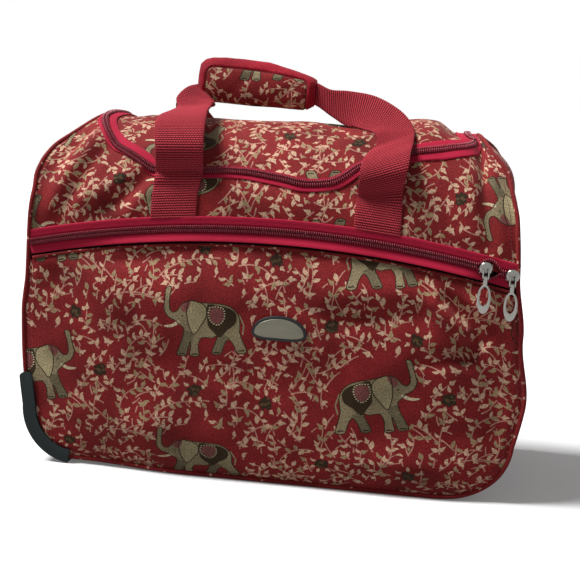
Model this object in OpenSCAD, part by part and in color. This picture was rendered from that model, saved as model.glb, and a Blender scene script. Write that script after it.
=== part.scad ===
// Soft-sided wheeled carry-on bag: a domed main compartment under a zipped lid, a zipped front
// pocket, two carry straps held in one wrapped grip, two wheels in a moulded corner and a pull
// handle that slides out of the other end.
// +Z is up, the front wall faces -Y and the origin lies on the floor under the middle.

/* [Body] */
// Width of the sewn body at its widest, end to end
body_w = 524; // [480:2:580]
// Depth of the sewn body, front wall to back wall
body_d = 246; // [220:2:280]
// Height where the walls end and the domed top starts
shoulder_z = 257; // [245:1:290]
// Height of the fabric bottom above the floor
base_lift = 6; // [4:0.5:10]
// Radius of the bottom corners seen from the front
bottom_r = 54; // [48:1:62]
// Radius of the top corners seen from the front
top_r = 60; // [50:1:75]
// How far each end tucks in at its foot
foot_tuck = 12; // [6:1:18]
// How far each end leans in at its top
top_tuck = 8; // [4:1:14]
// Thickness of a sewn wall
wall = 3; // [2:0.5:4]
// Radius of the piping along the sewn edges
piping_r = 2.3; // [1.8:0.1:2.8]

/* [Front pocket] */
// Height of the pocket zip at the middle of the front
zip_top_z = 263; // [250:1:270]
// Radius of the arch that the pocket zip follows
zip_r = 1130; // [900:10:1500]
// How far the pocket panel swells out of the front wall
pocket_bulge = 17; // [8:1:24]
// Radius of the rolled welt under the pocket zip
welt_r = 3.2; // [2:0.1:4]

/* [Lid] */
// Half of the lid's width
lid_half_w = 195; // [170:1:198]
// Run over the dome from the crest to the lid's front edge
lid_front_run = 124; // [110:1:132]
// Run over the dome from the crest to the lid's back edge
lid_back_run = 112; // [100:1:130]
// Radius of the lid's front corners
lid_corner_r = 85; // [60:1:100]

/* [Zips] */
// Width of one zip tape beside the coil's middle
tape_w = 13; // [11:0.5:14]
// Thickness of a zip tape
tape_t = 1.2; // [0.8:0.1:1.6]
// Half width of the meshed coil
coil_half_w = 3.8; // [3:0.1:4.5]
// Height of the coil above its tapes
coil_h = 2.6; // [2:0.1:3.2]
// Length of an oval zip pull
pull_l = 30; // [24:1:34]
// Width of an oval zip pull
pull_w = 14; // [11:0.5:16]

/* [Carry straps] */
// Width of the webbing
strap_w = 48; // [40:1:52]
// Thickness of the webbing
strap_t = 2; // [1.5:0.1:2.4]
// Distance between the two legs of a strap
strap_spacing = 212; // [190:2:230]
// Length of the grip wrap
grip_l = 134; // [110:2:140]
// Height of the grip wrap
grip_h = 54; // [53:0.5:60]
// Thickness of the grip wrap
grip_t = 20; // [16:1:26]
// Height of the grip's middle above the floor
grip_z = 422; // [416:1:440]

/* [Badge] */
// Width of the half-moon badge
badge_w = 57; // [45:1:70]
// Height of the half-moon badge
badge_h = 26; // [20:1:32]

/* [Wheels] */
// Radius of a wheel
wheel_r = 21; // [18:0.5:23]
// Width of a wheel's tread
wheel_w = 20; // [16:1:22]
// Distance between the middles of the two wheels
wheel_track = 160; // [130:2:180]
// Radius of a wheel axle
axle_r = 3; // [2.5:0.1:4]
// Wall thickness of the moulded wheel base
guard_t = 3; // [2.5:0.1:3.4]
// Width of the wheel base's cheeks seen from the front
guard_w = 14; // [10:0.5:18]

/* [Pull handle] */
// Outer radius of a fixed handle tube
tube_r = 8; // [7:0.1:9]
// Wall thickness of the handle tubes
tube_wall = 1; // [0.8:0.1:1.4]
// Distance between the two handle tubes
tube_spacing = 96; // [80:2:104]
// Height of the handle tubes above the floor
tube_z = 42; // [38:0.5:46]
// Length of a fixed handle tube
tube_l = 376; // [340:2:390]
// Length of the hand bar across the tubes
bar_l = 124; // [116:1:130]
// Height of the hand bar
bar_h = 22; // [20:0.5:24]
// Depth of the hand bar along the tubes
bar_d = 20; // [16:0.5:22]
// Length of the push button in the hand bar
button_l = 32; // [24:1:40]

/* [Hidden] */
$fn = 48;

// Clearances and small sizes
seam = 0.3;
cut = 1;
running = 0.06;
slide_gap = 0.2;
screw_land = 10;

// Body
half_w = body_w / 2;
half_d = body_d / 2;
crest_z = shoulder_z + half_d;
outline_rise = 3;
outline_top = crest_z + outline_rise;
foot_half = half_w - foot_tuck;
top_half = half_w - top_tuck;
corner_x = foot_half - bottom_r;
corner_z = base_lift + bottom_r;
top_corner_x = top_half - top_r;
top_corner_z = outline_top - top_r;
edge_inset = piping_r + 2 * seam;
dome_quarter = half_d * PI / 2;
arc_steps = 9;
side_steps = 8;

// The front stands further out than the back, so the body sits behind the origin
badge_base_t = 2.5;
badge_plate_t = 1.5;
front_reach = seam + wall + pocket_bulge;
badge_reach = seam + badge_base_t + badge_plate_t;
cheek_lift = wall + 4 * seam;
back_reach = cheek_lift + guard_t;
mid_y = (front_reach + badge_reach - back_reach) / 2;

// Pocket
zip_centre_z = zip_top_z - zip_r;
zip_half_w = half_w - 3 * edge_inset - seam;
zip_half_angle = asin(zip_half_w / zip_r);
tape_lift = seam;
coil_lift = tape_lift + tape_t + seam / 2;
welt_top = tape_w + seam;
pocket_top = welt_top + 2 * welt_r + 2 * seam;
pocket_margin = 16;
pocket_head_r = zip_r - pocket_top;
pocket_head_x = outline_x(zip_centre_z + sqrt(pow(pocket_head_r, 2) - pow(zip_half_w, 2))) - edge_inset;
pocket_columns = 22;
pocket_rows = 9;
across_power = 2.6;
up_power = 3.2;
left_slider_inset = 35;
right_slider_inset = 8;
left_slider_x = zip_half_w - left_slider_inset;
right_slider_x = zip_half_w - right_slider_inset;

// Sliders and pulls
slider_l = 11;
slider_plate_t = 1.6;
slider_gap = 0.4;
slider_flange_t = 1.4;
slider_half_w = coil_half_w + slider_gap + slider_flange_t;
slider_face_z = coil_lift - tape_lift - tape_t + coil_h + slider_gap;
dome_r = 7;
dome_h = 3;
pin_r = 1;
eye_r = 2.2;
eye_w = 4;
ear_t = 1.4;
pin_y = 9.2;
pin_z = 9;
neck_w = 4;
neck_l = 4;
pull_t = 2;
pull_rim = 2.6;
pull_solid = 8;
lid_slider_run = 96;

// Straps and grip
strap_half = strap_spacing / 2;
strap_lift = seam + strap_t / 2;
grip_x = -44;
grip_tilt = 2.5;
grip_corner_r = 8;
loop_rise = grip_z - crest_z;
slot_gap = 0.5;
strap_apart = 1;
spline_steps = 4;
leg_lean = 0.6;
strap_foot_drop = 1.7;
strap_foot_z = zip_top_z + tape_w - strap_foot_drop;
strap_foot_run = strap_foot_z > shoulder_z ?
    half_d * acos((strap_foot_z - shoulder_z) / half_d) * PI / 180 :
    dome_quarter + shoulder_z - strap_foot_z;
// Legs of the front strap: side, run from the crest to the lid's edge (1) and on to the strap's
// foot (2), lift above the dome, lean of the webbing face
left_leg_shares = [[-1, 2, 0, 1], [-1, 1.7, 0, 1], [-1, 1.4, 0.02, 1], [-1.01, 0.98, 0.17, 1],
    [-1.1, 0.62, 0.24, 1], [-1.2, 0.3, 0.5, 0.7], [-1.19, 0.09, 0.84, 0.1], [-1.11, 0.03, 1, 0]];
right_leg_shares = [[0.31, 0.03, 0.89, 0], [0.45, 0.08, 0.76, 0.1], [0.83, 0.28, 0.46, 0.7],
    [1.07, 0.53, 0.22, 1], [1.09, 0.81, 0.17, 1], [1.03, 0.98, 0.17, 1], [1, 1.4, 0.02, 1],
    [1, 1.7, 0, 1], [1, 2, 0, 1]];

// Badge
badge_x = 15;
badge_z = 166;
badge_rim = 3;
badge_seat = half_d + front_reach + seam;
badge_flat_share = 0.3;

// Wheels
wheel_inset = 26;
wheel_x = wheel_inset - foot_half;
wheel_gap = 3.5;
well_side_gap = 2.5;
well_r = wheel_r + wheel_gap;
well_w = wheel_w + 2 * well_side_gap;
bucket_r = well_r + guard_t;
bucket_w = well_w + 2 * guard_t;
hub_r = 14;
hub_web_t = 6;
hub_boss_r = 7;
hub_rim_t = 2;
tread_round = 3;
guard_gap = piping_r + seam + seam;
guard_top_z = 90;
guard_steps = 3;
guard_cap_h = 5;
guard_cap_steps = 8;
guard_end_angle = 262;
foot_inset = 26;
foot_x = corner_x - foot_inset;
foot_w = 34;
foot_d = 22;
foot_taper = 3;

// Bottom and pull handle
board_t = 2.5;
board_w = 2 * corner_x - 2 * screw_land;
board_d = body_d - 2 * wall - 2 * screw_land;
board_z = base_lift + wall + seam;
cup_inset = 42;
cup_back_x = foot_half - cup_inset;
cup_wall = 2.5;
cup_room = 3;
cup_lip = 5;
cup_half_l = bar_l / 2 + cup_room;
cup_half_h = bar_h / 2 + cup_room;
bar_x = cup_back_x + cup_wall + cup_room;
bar_round = 5;
tube_in_r = tube_r - tube_wall;
inner_r = tube_in_r - slide_gap;
inner_grip_depth = 12;
inner_short = 10;
inner_l = tube_l - inner_short;
button_h = 10;
button_travel = 3;
button_proud = 1.5;
button_depth = 7;
bracket_l = 26;
bracket_margin = 6;
tube_end_x = cup_back_x + cup_wall - tube_l;

// Points on a round stretch from one angle to another
function arc(x, z, r, from, to, steps = arc_steps) =
    [for (k = [0:steps]) let (a = from + (to - from) * k / steps) [x + r * cos(a), z + r * sin(a)]];

// Half width of one end's barrel between its two corners, by height
function barrel_x(z) =
    let (t = (z - corner_z) / (top_corner_z - corner_z))
    half_w - (t < 0.5 ? foot_tuck : top_tuck) * pow(2 * t - 1, 2);

// Half width of the front outline at a height, above the bottom corner's start
function outline_x(z) =
    z < corner_z ? corner_x + sqrt(max(bottom_r * bottom_r - pow(corner_z - z, 2), 0)) :
    z < top_corner_z ? barrel_x(z) :
    top_corner_x + sqrt(max(top_r * top_r - pow(z - top_corner_z, 2), 0));

// One end of the front outline, from the bottom to the top, moved in by an inset
function end_outline(inset) = concat(
    arc(corner_x, corner_z, bottom_r - inset, -90, 0),
    [for (k = [1:side_steps - 1])
        let (z = corner_z + (top_corner_z - corner_z) * k / side_steps) [barrel_x(z) - inset, z]],
    arc(top_corner_x, top_corner_z, top_r - inset, 0, 90));

function mirrored(points) = [for (k = [len(points) - 1:-1:0]) [-points[k][0], points[k][1]]];

// The whole outline of the bag seen from the front
function front_outline(inset) = concat(end_outline(inset), mirrored(end_outline(inset)));

// The side profile: upright walls under a half round, open at the bottom when it is a cutter
function side_profile(inset, foot_z) = concat(
    [[half_d - inset, foot_z]],
    arc(0, shoulder_z, half_d - inset, 0, 180, 2 * arc_steps),
    [[-half_d + inset, foot_z]]);

// A point over the dome from a place on its unrolled sheet: across, run from the crest
function dome(place, lift) =
    let (a = place[1] / half_d * 180 / PI)
    [place[0], mid_y + (half_d + lift) * sin(a), shoulder_z + (half_d + lift) * cos(a)];

// The lid's seam on the unrolled dome, from its right back end round the front, moved out by off
function lid_arm(off, steps) =
    let (start = -(lid_front_run - lid_corner_r))
    [for (k = [0:steps - 1]) [lid_half_w + off, lid_back_run + (start - lid_back_run) * k / steps]];
function lid_run(off, arm_steps = 14) =
    let (half = concat(lid_arm(off, arm_steps),
        arc(lid_half_w - lid_corner_r, -(lid_front_run - lid_corner_r), lid_corner_r + off, 0, -90,
            arm_steps)))
    concat(half, mirrored(half));

// The lid's seam seen from above
function lid_plan(off) = [for (p = lid_run(off)) let (q = dome(p, 0)) [q[0], q[1]]];

function unit(v) = v / norm(v);

// A smooth curve through given points of any dimension
function spline_at(p, i, t) =
    let (a = p[max(i - 1, 0)], b = p[i], c = p[i + 1], d = p[min(i + 2, len(p) - 1)])
    0.5 * (2 * b + (c - a) * t + (2 * a - 5 * b + 4 * c - d) * t * t
        + (3 * b - a - 3 * c + d) * t * t * t);
function spline(p) = concat(
    [for (i = [0:len(p) - 2]) for (k = [0:spline_steps - 1]) spline_at(p, i, k / spline_steps)],
    [p[len(p) - 1]]);

// Direction of a line of points at one of them
function heading(p, i, closed = false) =
    let (n = len(p), after = closed ? (i + 1) % n : min(i + 1, n - 1),
        before = closed ? (i + n - 1) % n : max(i - 1, 0))
    unit(p[after] - p[before]);

// A solid through a row of rings that all have the same number of points
module loft(rings, closed = false) {
    n = len(rings);
    m = len(rings[0]);
    spans = closed ? n : n - 1;
    sides = [for (i = [0:spans - 1]) for (j = [0:m - 1])
        let (a = i * m, b = ((i + 1) % n) * m, k = (j + 1) % m)
        each [[a + j, a + k, b + k], [a + j, b + k, b + j]]];
    caps = closed ? [] : [[for (j = [m - 1:-1:0]) j], [for (j = [0:m - 1]) (n - 1) * m + j]];
    polyhedron([for (r = rings) each r], concat(sides, caps));
}

// A flat band along points, with a facing direction at each of them
function band_rings(p, facing, width, thick) =
    [for (i = [0:len(p) - 1])
        let (t = heading(p, i), f = facing[i], n = unit(f - (f * t) * t), s = cross(t, n),
            a = s * width / 2, b = n * thick / 2)
        [p[i] - a - b, p[i] + a - b, p[i] + a + b, p[i] - a + b]];

// A strip of the zipped lid's seam between two offsets and two lifts
function lid_strip_rings(off_in, off_out, low, high) =
    let (inner = lid_run(off_in), outer = lid_run(off_out))
    [for (i = [0:len(inner) - 1])
        [dome(inner[i], low), dome(outer[i], low), dome(outer[i], high), dome(inner[i], high)]];

// A prism with its profile seen from the side, centred on the middle of the bag
module across_bag(width) {
    translate([0, mid_y, 0]) rotate([90, 0, 90]) linear_extrude(width, center = true) children();
}

// A prism with its profile seen from the front, between two distances in front of the middle
module along_depth(from, to) {
    translate([0, mid_y - from, 0]) rotate([90, 0, 0]) linear_extrude(to - from) children();
}

// A strip along the pocket zip's arch: radial place and forward place of its section
module along_pocket_zip() {
    translate([0, mid_y - half_d, zip_centre_z]) rotate([90, 0, 0])
        rotate_extrude(angle = 2 * zip_half_angle, start = 90 - zip_half_angle, $fn = 900)
            translate([zip_r, 0]) children();
}

// Everything in front of the middle that lies above or below the pocket zip
module pocket_zip_side(above) {
    along_depth(0, 2 * half_d) difference() {
        translate([-body_w, -body_w]) square([2 * body_w, 3 * body_w]);
        if (above)
            translate([0, zip_centre_z]) circle(r = zip_r + seam / 2, $fn = 900);
        else
            difference() {
                translate([-body_w, -body_w]) square([2 * body_w, 3 * body_w]);
                translate([0, zip_centre_z]) circle(r = zip_r - seam / 2, $fn = 900);
            }
    }
}

// The sheet that wraps over front, top and back, trimmed to the piped edges
module wrap_sheet() {
    intersection() {
        across_bag(2 * body_w) polygon(concat(side_profile(0, base_lift + edge_inset),
            [for (p = side_profile(wall, base_lift + edge_inset)) [-p[0], p[1]]]));
        along_depth(-body_d, body_d) polygon(front_outline(edge_inset));
    }
}

// A column over the lid's plan
module lid_column(off) {
    linear_extrude(2 * crest_z) polygon(lid_plan(off));
}

// The strip of ends and bottom that the wrap is sewn to
module gusset_sheet() {
    intersection() {
        along_depth(-body_d, body_d) difference() {
            polygon(front_outline(0));
            polygon(front_outline(wall));
        }
        across_bag(2 * body_w) polygon(side_profile(wall + seam, 0));
    }
}

// Half space pieces that part the gusset into two ends and a bottom
module gusset_slice(from_x, to_x, top_z) {
    translate([from_x, -body_d, 0]) cube([to_x - from_x, 2 * body_d, top_z]);
}

module back_half() {
    translate([-body_w, mid_y + seam / 2, 0]) cube([2 * body_w, body_d, 2 * crest_z]);
}

// Depth of the pocket's swell at a share of its width and height
function swell(u, v, height) =
    let (across_room = zip_half_w - pocket_margin, up_room = height / 2 - pocket_margin,
        a = min(abs(u) * zip_half_w / across_room, 1), b = min(abs(v - 0.5) * height / up_room, 1))
    pocket_bulge * (1 - pow(a, across_power)) * (1 - pow(b, up_power));

// Bottom edge of the pocket panel, along the flat and up the rounded corner
function pocket_foot(u) =
    let (r = bottom_r - edge_inset, flat = corner_x, turn = r * PI / 2, s = abs(u) * (flat + turn),
        a = max(s - flat, 0) / r * 180 / PI, side = u < 0 ? -1 : 1)
    [side * (min(s, flat) + r * sin(a)), corner_z - r * cos(a)];
function pocket_head(u) =
    let (x = u * zip_half_w, far = x + u * (pocket_head_x - zip_half_w) * pow(abs(u), 4))
    [x, zip_centre_z + sqrt(pow(pocket_head_r, 2) - far * far)];
function pocket_point(u, v, lift) =
    let (foot = pocket_foot(u), head = pocket_head(u), z = foot[1] + (head[1] - foot[1]) * v,
        side_x = pocket_foot(1)[0] + (zip_half_w - pocket_foot(1)[0]) * v,
        stretch = (outline_x(max(z, corner_z)) - edge_inset) / side_x - 1,
        x = (foot[0] + (head[0] - foot[0]) * v) * (1 + stretch * pow(abs(u), 4) * v * (2 - v)))
    [x, mid_y - half_d - seam - lift - swell(u, v, head[1] - foot[1]), z];

module pocket_panel() {
    rings = [for (i = [0:pocket_columns])
        let (u = sin(90 * (2 * i / pocket_columns - 1)))
        concat([for (j = [0:pocket_rows]) pocket_point(u, j / pocket_rows, 0)],
            [for (j = [pocket_rows:-1:0]) pocket_point(u, j / pocket_rows, wall)])];
    color("#8f2029") loft(rings);
}

module pocket_back_panel() {
    color("#5a1a20") intersection() {
        wrap_sheet();
        pocket_zip_side(false);
    }
}

module front_yoke() {
    color("#96222c") difference() {
        intersection() {
            wrap_sheet();
            pocket_zip_side(true);
        }
        lid_column(coil_half_w / 2);
        back_half();
    }
}

module lid_panel() {
    color("#9a2430") intersection() {
        wrap_sheet();
        lid_column(-coil_half_w / 2);
        translate([-body_w, -body_d, shoulder_z]) cube([2 * body_w, 2 * body_d, body_d]);
    }
}

module back_panel() {
    color("#8f2029") difference() {
        intersection() {
            wrap_sheet();
            back_half();
        }
        translate([0, seam, 0]) lid_column(coil_half_w / 2);
    }
}

module left_end_panel() {
    color("#8a1d27") difference() {
        intersection() {
            gusset_sheet();
            gusset_slice(-body_w, -corner_x, 2 * crest_z);
        }
        for (side = [-1, 1])
            wheel_place(side) cylinder(r = bucket_r + seam, h = bucket_w + 2 * seam, center = true);
    }
}

module right_end_panel() {
    color("#8a1d27") difference() {
        intersection() {
            gusset_sheet();
            gusset_slice(corner_x, body_w, 2 * crest_z);
        }
        translate([cup_back_x - cut, mid_y - cup_half_l - cup_wall - seam,
            tube_z - cup_half_h - cup_wall - seam])
            cube([body_w, 2 * (cup_half_l + cup_wall + seam), 2 * (cup_half_h + cup_wall + seam)]);
    }
}

module bottom_panel() {
    color("#7c1b24") intersection() {
        gusset_sheet();
        gusset_slice(-corner_x + seam, corner_x - seam, corner_z);
    }
}

module bottom_board() {
    color("#2a2622") translate([-board_w / 2, mid_y - board_d / 2, board_z])
        cube([board_w, board_d, board_t]);
}

// Half of the sewn edge, from the middle of the front bottom over the right end to the back
function piping_path() =
    let (front = concat(
            [for (k = [0:3]) [corner_x * k / 4, base_lift]],
            arc(corner_x, corner_z, bottom_r, -90, 0),
            [for (k = [1:3]) let (z = corner_z + (shoulder_z - corner_z) * k / 4) [outline_x(z), z]]),
        over = [for (k = [0:2 * arc_steps]) let (a = 180 * k / (2 * arc_steps),
            z = shoulder_z + half_d * sin(a)) [outline_x(z), mid_y - half_d * cos(a), z]])
    concat([for (p = front) [p[0], mid_y - half_d, p[1]]], over,
        [for (k = [len(front) - 1:-1:0]) [front[k][0], mid_y + half_d, front[k][1]]]);

module edge_piping() {
    right = piping_path();
    loop = concat(right, [for (k = [len(right) - 2:-1:1]) [-right[k][0], right[k][1], right[k][2]]]);
    middle = [0, mid_y, corner_z + (shoulder_z - corner_z) / 2];
    rings = [for (i = [0:len(loop) - 1])
        let (t = heading(loop, i, true), out = loop[i] - middle, n = unit(out - (out * t) * t),
            s = cross(t, n))
        [for (a = [0:60:300]) loop[i] + piping_r * (cos(a) * n + sin(a) * s)]];
    color("#9c1f2b") loft(rings, closed = true);
}

module pocket_welt() {
    color("#54161c") along_pocket_zip()
        translate([-welt_top - welt_r, seam + welt_r]) circle(r = welt_r);
}

module pocket_zip_upper_tape() {
    color("#b3152f") along_pocket_zip()
        translate([seam, tape_lift]) square([tape_w - seam, tape_t]);
}

module pocket_zip_lower_tape() {
    color("#b3152f") along_pocket_zip()
        translate([-tape_w, tape_lift]) square([tape_w - seam, tape_t]);
}

// Section of one half of a coil: a low ridge with a rounded back
module coil_section(side) {
    a = side * seam / 2;
    b = side * coil_half_w;
    step = coil_h / 3;
    polygon([[a, coil_lift], [b, coil_lift], [b, coil_lift + step], [b - side * step, coil_lift + coil_h],
        [a + side * step, coil_lift + coil_h], [a, coil_lift + 2 * step]]);
}

module pocket_zip_upper_coil() {
    color("#4d1420") along_pocket_zip() coil_section(1);
}

module pocket_zip_lower_coil() {
    color("#4d1420") along_pocket_zip() coil_section(-1);
}

// A zip slider on its tape: X runs along the zip, Z points off the tape, the lug is turned by swing
module slider(swing) {
    translate([-slider_l / 2, -slider_half_w, slider_face_z])
        cube([slider_l, 2 * slider_half_w, slider_plate_t]);
    for (side = [-1, 1])
        translate([-slider_l / 2, side * (slider_half_w - slider_flange_t / 2) - slider_flange_t / 2,
            slider_gap])
            cube([slider_l, slider_flange_t, slider_face_z - slider_gap + slider_plate_t / 2]);
    rotate_extrude() polygon(concat([[0, slider_face_z], [dome_r, slider_face_z]],
        [for (a = [0:15:90]) [dome_r * cos(a), slider_face_z + slider_plate_t + dome_h * sin(a)]]));
    rotate([0, 0, swing]) {
        for (side = [-1, 1])
            translate([side * (eye_w / 2 + running + ear_t / 2), 0, 0]) slider_ear();
        translate([0, -pin_y, pin_z]) rotate([0, 90, 0])
            cylinder(r = pin_r, h = eye_w + 2 * running + ear_t, center = true);
    }
}

module slider_ear() {
    rotate([90, 0, 90]) linear_extrude(ear_t, center = true)
        polygon([[0, slider_face_z + slider_plate_t / 2], [0, pin_z + eye_r], [-pin_y, pin_z + eye_r],
            [-pin_y - eye_r, pin_z], [-pin_y, pin_z - eye_r],
            [-slider_half_w, slider_face_z + slider_plate_t / 2]]);
}

module oval(half_x, half_y) {
    polygon([for (a = [0:15:345]) [half_x * cos(a), half_y * sin(a)]]);
}

// A zip pull hanging from its pin, with a long eye through the oval plate
module zip_pull() {
    plate_y = -eye_r - neck_l - pull_l / 2;
    hole_half = (pull_l - pull_rim - pull_solid) / 2;
    difference() {
        union() {
            rotate([0, 90, 0]) cylinder(r = eye_r, h = eye_w, center = true);
            translate([-neck_w / 2, -eye_r - neck_l - pull_rim / 2, -pull_t / 2])
                cube([neck_w, neck_l + eye_r + pull_rim / 2, pull_t]);
            translate([0, plate_y, -pull_t / 2]) linear_extrude(pull_t) difference() {
                oval(pull_w / 2, pull_l / 2);
                translate([0, pull_l / 2 - pull_rim - hole_half])
                    oval(pull_w / 2 - pull_rim, hole_half);
            }
        }
        rotate([0, 90, 0]) cylinder(r = pin_r + running, h = eye_w + 2 * cut, center = true);
    }
}

// A place on the pocket zip, by its distance from the middle of the bag
module on_pocket_zip(x) {
    translate([0, mid_y - half_d - tape_lift - tape_t, zip_centre_z])
        rotate([0, asin(x / zip_r), 0]) translate([0, 0, zip_r]) rotate([90, 0, 0]) children();
}

// A place on the right arm of the lid's zip, by its run from the crest towards the back
module on_lid_zip(run) {
    translate([lid_half_w, mid_y, shoulder_z]) rotate([-run / half_d * 180 / PI, 0, 0])
        translate([0, 0, half_d + tape_lift + tape_t]) rotate([0, 0, 90]) children();
}

module at_pin(swing) {
    rotate([0, 0, swing]) translate([0, -pin_y, pin_z]) children();
}

module pocket_slider(x) {
    color("#c4c4c0") on_pocket_zip(x) slider(asin(x / zip_r));
}

module pocket_pull(x) {
    color("#cfcfca") on_pocket_zip(x) at_pin(asin(x / zip_r)) zip_pull();
}

module pocket_slider_left() {
    pocket_slider(left_slider_x);
}

module pocket_slider_right() {
    pocket_slider(right_slider_x);
}

module pocket_pull_left() {
    pocket_pull(left_slider_x);
}

module pocket_pull_right() {
    pocket_pull(right_slider_x);
}

module lid_zip_outer_tape() {
    color("#b3152f")
        loft(lid_strip_rings(seam, tape_w, tape_lift, tape_lift + tape_t));
}

module lid_zip_inner_tape() {
    color("#b3152f")
        loft(lid_strip_rings(-tape_w, -seam, tape_lift, tape_lift + tape_t));
}

module lid_zip_coil() {
    color("#4d1420")
        loft(lid_strip_rings(-coil_half_w, coil_half_w, coil_lift, coil_lift + coil_h));
}

module lid_slider() {
    color("#c4c4c0") on_lid_zip(lid_slider_run) slider(90);
}

module lid_pull() {
    color("#cfcfca") on_lid_zip(lid_slider_run) at_pin(90) zip_pull();
}

// A point over the front by its run from the crest: round the dome, then down the wall
function front_point(x, run, lift) =
    run < dome_quarter ? dome([x, -run], lift) :
    [x, mid_y - half_d - lift, shoulder_z + dome_quarter - run];

// Run of a strap's share: up to 1 on the lid, then between the lid's edge and the strap's foot
function strap_run(share) =
    share < 1 ? share * lid_front_run : lid_front_run + (share - 1) * (strap_foot_run - lid_front_run);

// Where a strap's middle passes, with its lean as a fourth number
function leg_place(s) =
    let (p = front_point(s[0] * strap_half, strap_run(s[1]), strap_lift + s[2] * loop_rise))
    [p[0], p[1], p[2], s[3] * leg_lean];
function grip_place(along) =
    [grip_x + along * cos(grip_tilt), mid_y - strap_apart - strap_t / 2,
        grip_z - along * sin(grip_tilt), 0];
function strap_route() = spline(concat(
    [for (s = left_leg_shares) leg_place(s)],
    [for (k = [-2:2]) grip_place(k * grip_l / 4)],
    [for (s = right_leg_shares) leg_place(s)]));

module carry_strap() {
    route = strap_route();
    middles = [for (p = route) [p[0], p[1], p[2]]];
    facing = [for (p = route) [0, -1, p[3]]];
    color("#b01d2d") loft(band_rings(middles, facing, strap_w, strap_t));
}

module front_strap() {
    carry_strap();
}

module back_strap() {
    translate([0, 2 * mid_y, 0]) mirror([0, 1, 0]) carry_strap();
}

module rounded_plate(width, height, r) {
    x = width / 2 - r;
    y = height / 2 - r;
    polygon(concat(arc(x, y, r, 0, 90), arc(-x, y, r, 90, 180), arc(-x, -y, r, 180, 270),
        arc(x, -y, r, 270, 360)));
}

module grip_wrap() {
    slot_t = 2 * (strap_apart + strap_t + slot_gap);
    color("#94222b") translate([grip_x, mid_y, grip_z]) rotate([0, grip_tilt, 0])
        rotate([90, 0, 90]) linear_extrude(grip_l, center = true) difference() {
            rounded_plate(grip_t, grip_h, grip_corner_r);
            square([slot_t, strap_w + 2 * slot_gap], center = true);
        }
}

// Half-moon plate with a rounded flat foot, moved in by an inset
module half_moon(inset) {
    x = badge_w / 2 - inset;
    foot = badge_h * badge_flat_share - inset;
    head = badge_h * (1 - badge_flat_share) - inset;
    polygon(concat([for (a = [0:10:180]) [x * cos(a), head * sin(a)]],
        [for (a = [190:10:350]) [x * sign(cos(a)) * pow(abs(cos(a)), 0.5), foot * sin(a)]]));
}

module badge_layer(from, to, inset) {
    translate([badge_x, mid_y - badge_seat - from, badge_z - badge_h * (0.5 - badge_flat_share)])
        rotate([90, 0, 0]) linear_extrude(to - from) half_moon(inset);
}

module badge_base() {
    color("#15161a") badge_layer(0, badge_base_t, 0);
}

module badge_plate() {
    color("#8b8a82") badge_layer(badge_base_t, badge_base_t + badge_plate_t, badge_rim);
}

// The axle line of one wheel: -1 is the front wheel, 1 the rear one
module wheel_place(side) {
    translate([wheel_x, mid_y + side * wheel_track / 2, wheel_r]) rotate([90, 0, 0]) children();
}

// A line that follows the left end and its bottom corner, moved out by off
function corner_line(off) = concat(
    [for (k = [0:guard_steps - 1]) let (z = guard_top_z + (corner_z - guard_top_z) * k / guard_steps)
        [-barrel_x(z) - off, z]],
    arc(-corner_x, corner_z, bottom_r + off, 180, guard_end_angle, 2 * arc_steps));

// A strip along the left bottom corner between two such lines
function corner_strip(off_in, off_out) =
    let (inner = corner_line(off_in))
    concat(corner_line(off_out), [for (k = [len(inner) - 1:-1:0]) inner[k]]);

// One cheek of the wheel base, seen from the front, with a rounded top
function cheek_outline(out) =
    let (middle_x = -barrel_x(guard_top_z) - out + guard_w / 2)
    concat(corner_strip(out - guard_w, out),
        [for (k = [1:guard_cap_steps - 1]) let (a = 180 * k / guard_cap_steps)
            [middle_x + guard_w / 2 * cos(a), guard_top_z + guard_cap_h * sin(a)]]);

module wheel_base() {
    reach = half_d + cheek_lift + guard_t;
    out = guard_gap + guard_t;
    color("#22292b") difference() {
        union() {
            along_depth(-reach, reach) polygon(corner_strip(guard_gap, out));
            along_depth(reach - guard_t, reach) polygon(cheek_outline(out));
            along_depth(-reach, guard_t - reach) polygon(cheek_outline(out));
            for (side = [-1, 1])
                intersection() {
                    wheel_place(side) cylinder(r = bucket_r, h = bucket_w, center = true);
                    along_depth(-body_d, body_d) polygon(concat([[0, body_w]],
                        arc(-corner_x, corner_z, bottom_r + out - guard_t / 2, 180, 270)));
                }
        }
        for (side = [-1, 1]) {
            wheel_place(side) cylinder(r = well_r, h = well_w, center = true);
            wheel_place(side) cylinder(r = axle_r + running, h = bucket_w + 2 * cut, center = true);
        }
    }
}

module wheel_axle(side) {
    color("#9a9d9f") wheel_place(side) cylinder(r = axle_r, h = bucket_w, center = true);
}

module wheel_hub(side) {
    boss = well_w / 2 - seam;
    rim = wheel_w / 2;
    web = hub_web_t / 2;
    inside = hub_r - hub_rim_t;
    bore = axle_r + running;
    color("#3a3d3f") wheel_place(side) rotate_extrude() polygon([[bore, -boss], [hub_boss_r, -boss],
        [hub_boss_r, -web], [inside, -web], [inside, -rim], [hub_r, -rim], [hub_r, rim],
        [inside, rim], [inside, web], [hub_boss_r, web], [hub_boss_r, boss], [bore, boss]]);
}

module wheel_tyre(side) {
    rim = wheel_w / 2;
    inside = hub_r + running;
    color("#17191a") wheel_place(side) rotate_extrude() polygon(concat([[inside, -rim]],
        arc(wheel_r - tread_round, -rim + tread_round, tread_round, -90, 0, 4),
        arc(wheel_r - tread_round, rim - tread_round, tread_round, 0, 90, 4), [[inside, rim]]));
}

module front_axle() {
    wheel_axle(-1);
}

module rear_axle() {
    wheel_axle(1);
}

module front_wheel_hub() {
    wheel_hub(-1);
}

module front_wheel_tyre() {
    wheel_tyre(-1);
}

module rear_wheel_hub() {
    wheel_hub(1);
}

module rear_wheel_tyre() {
    wheel_tyre(1);
}

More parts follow.
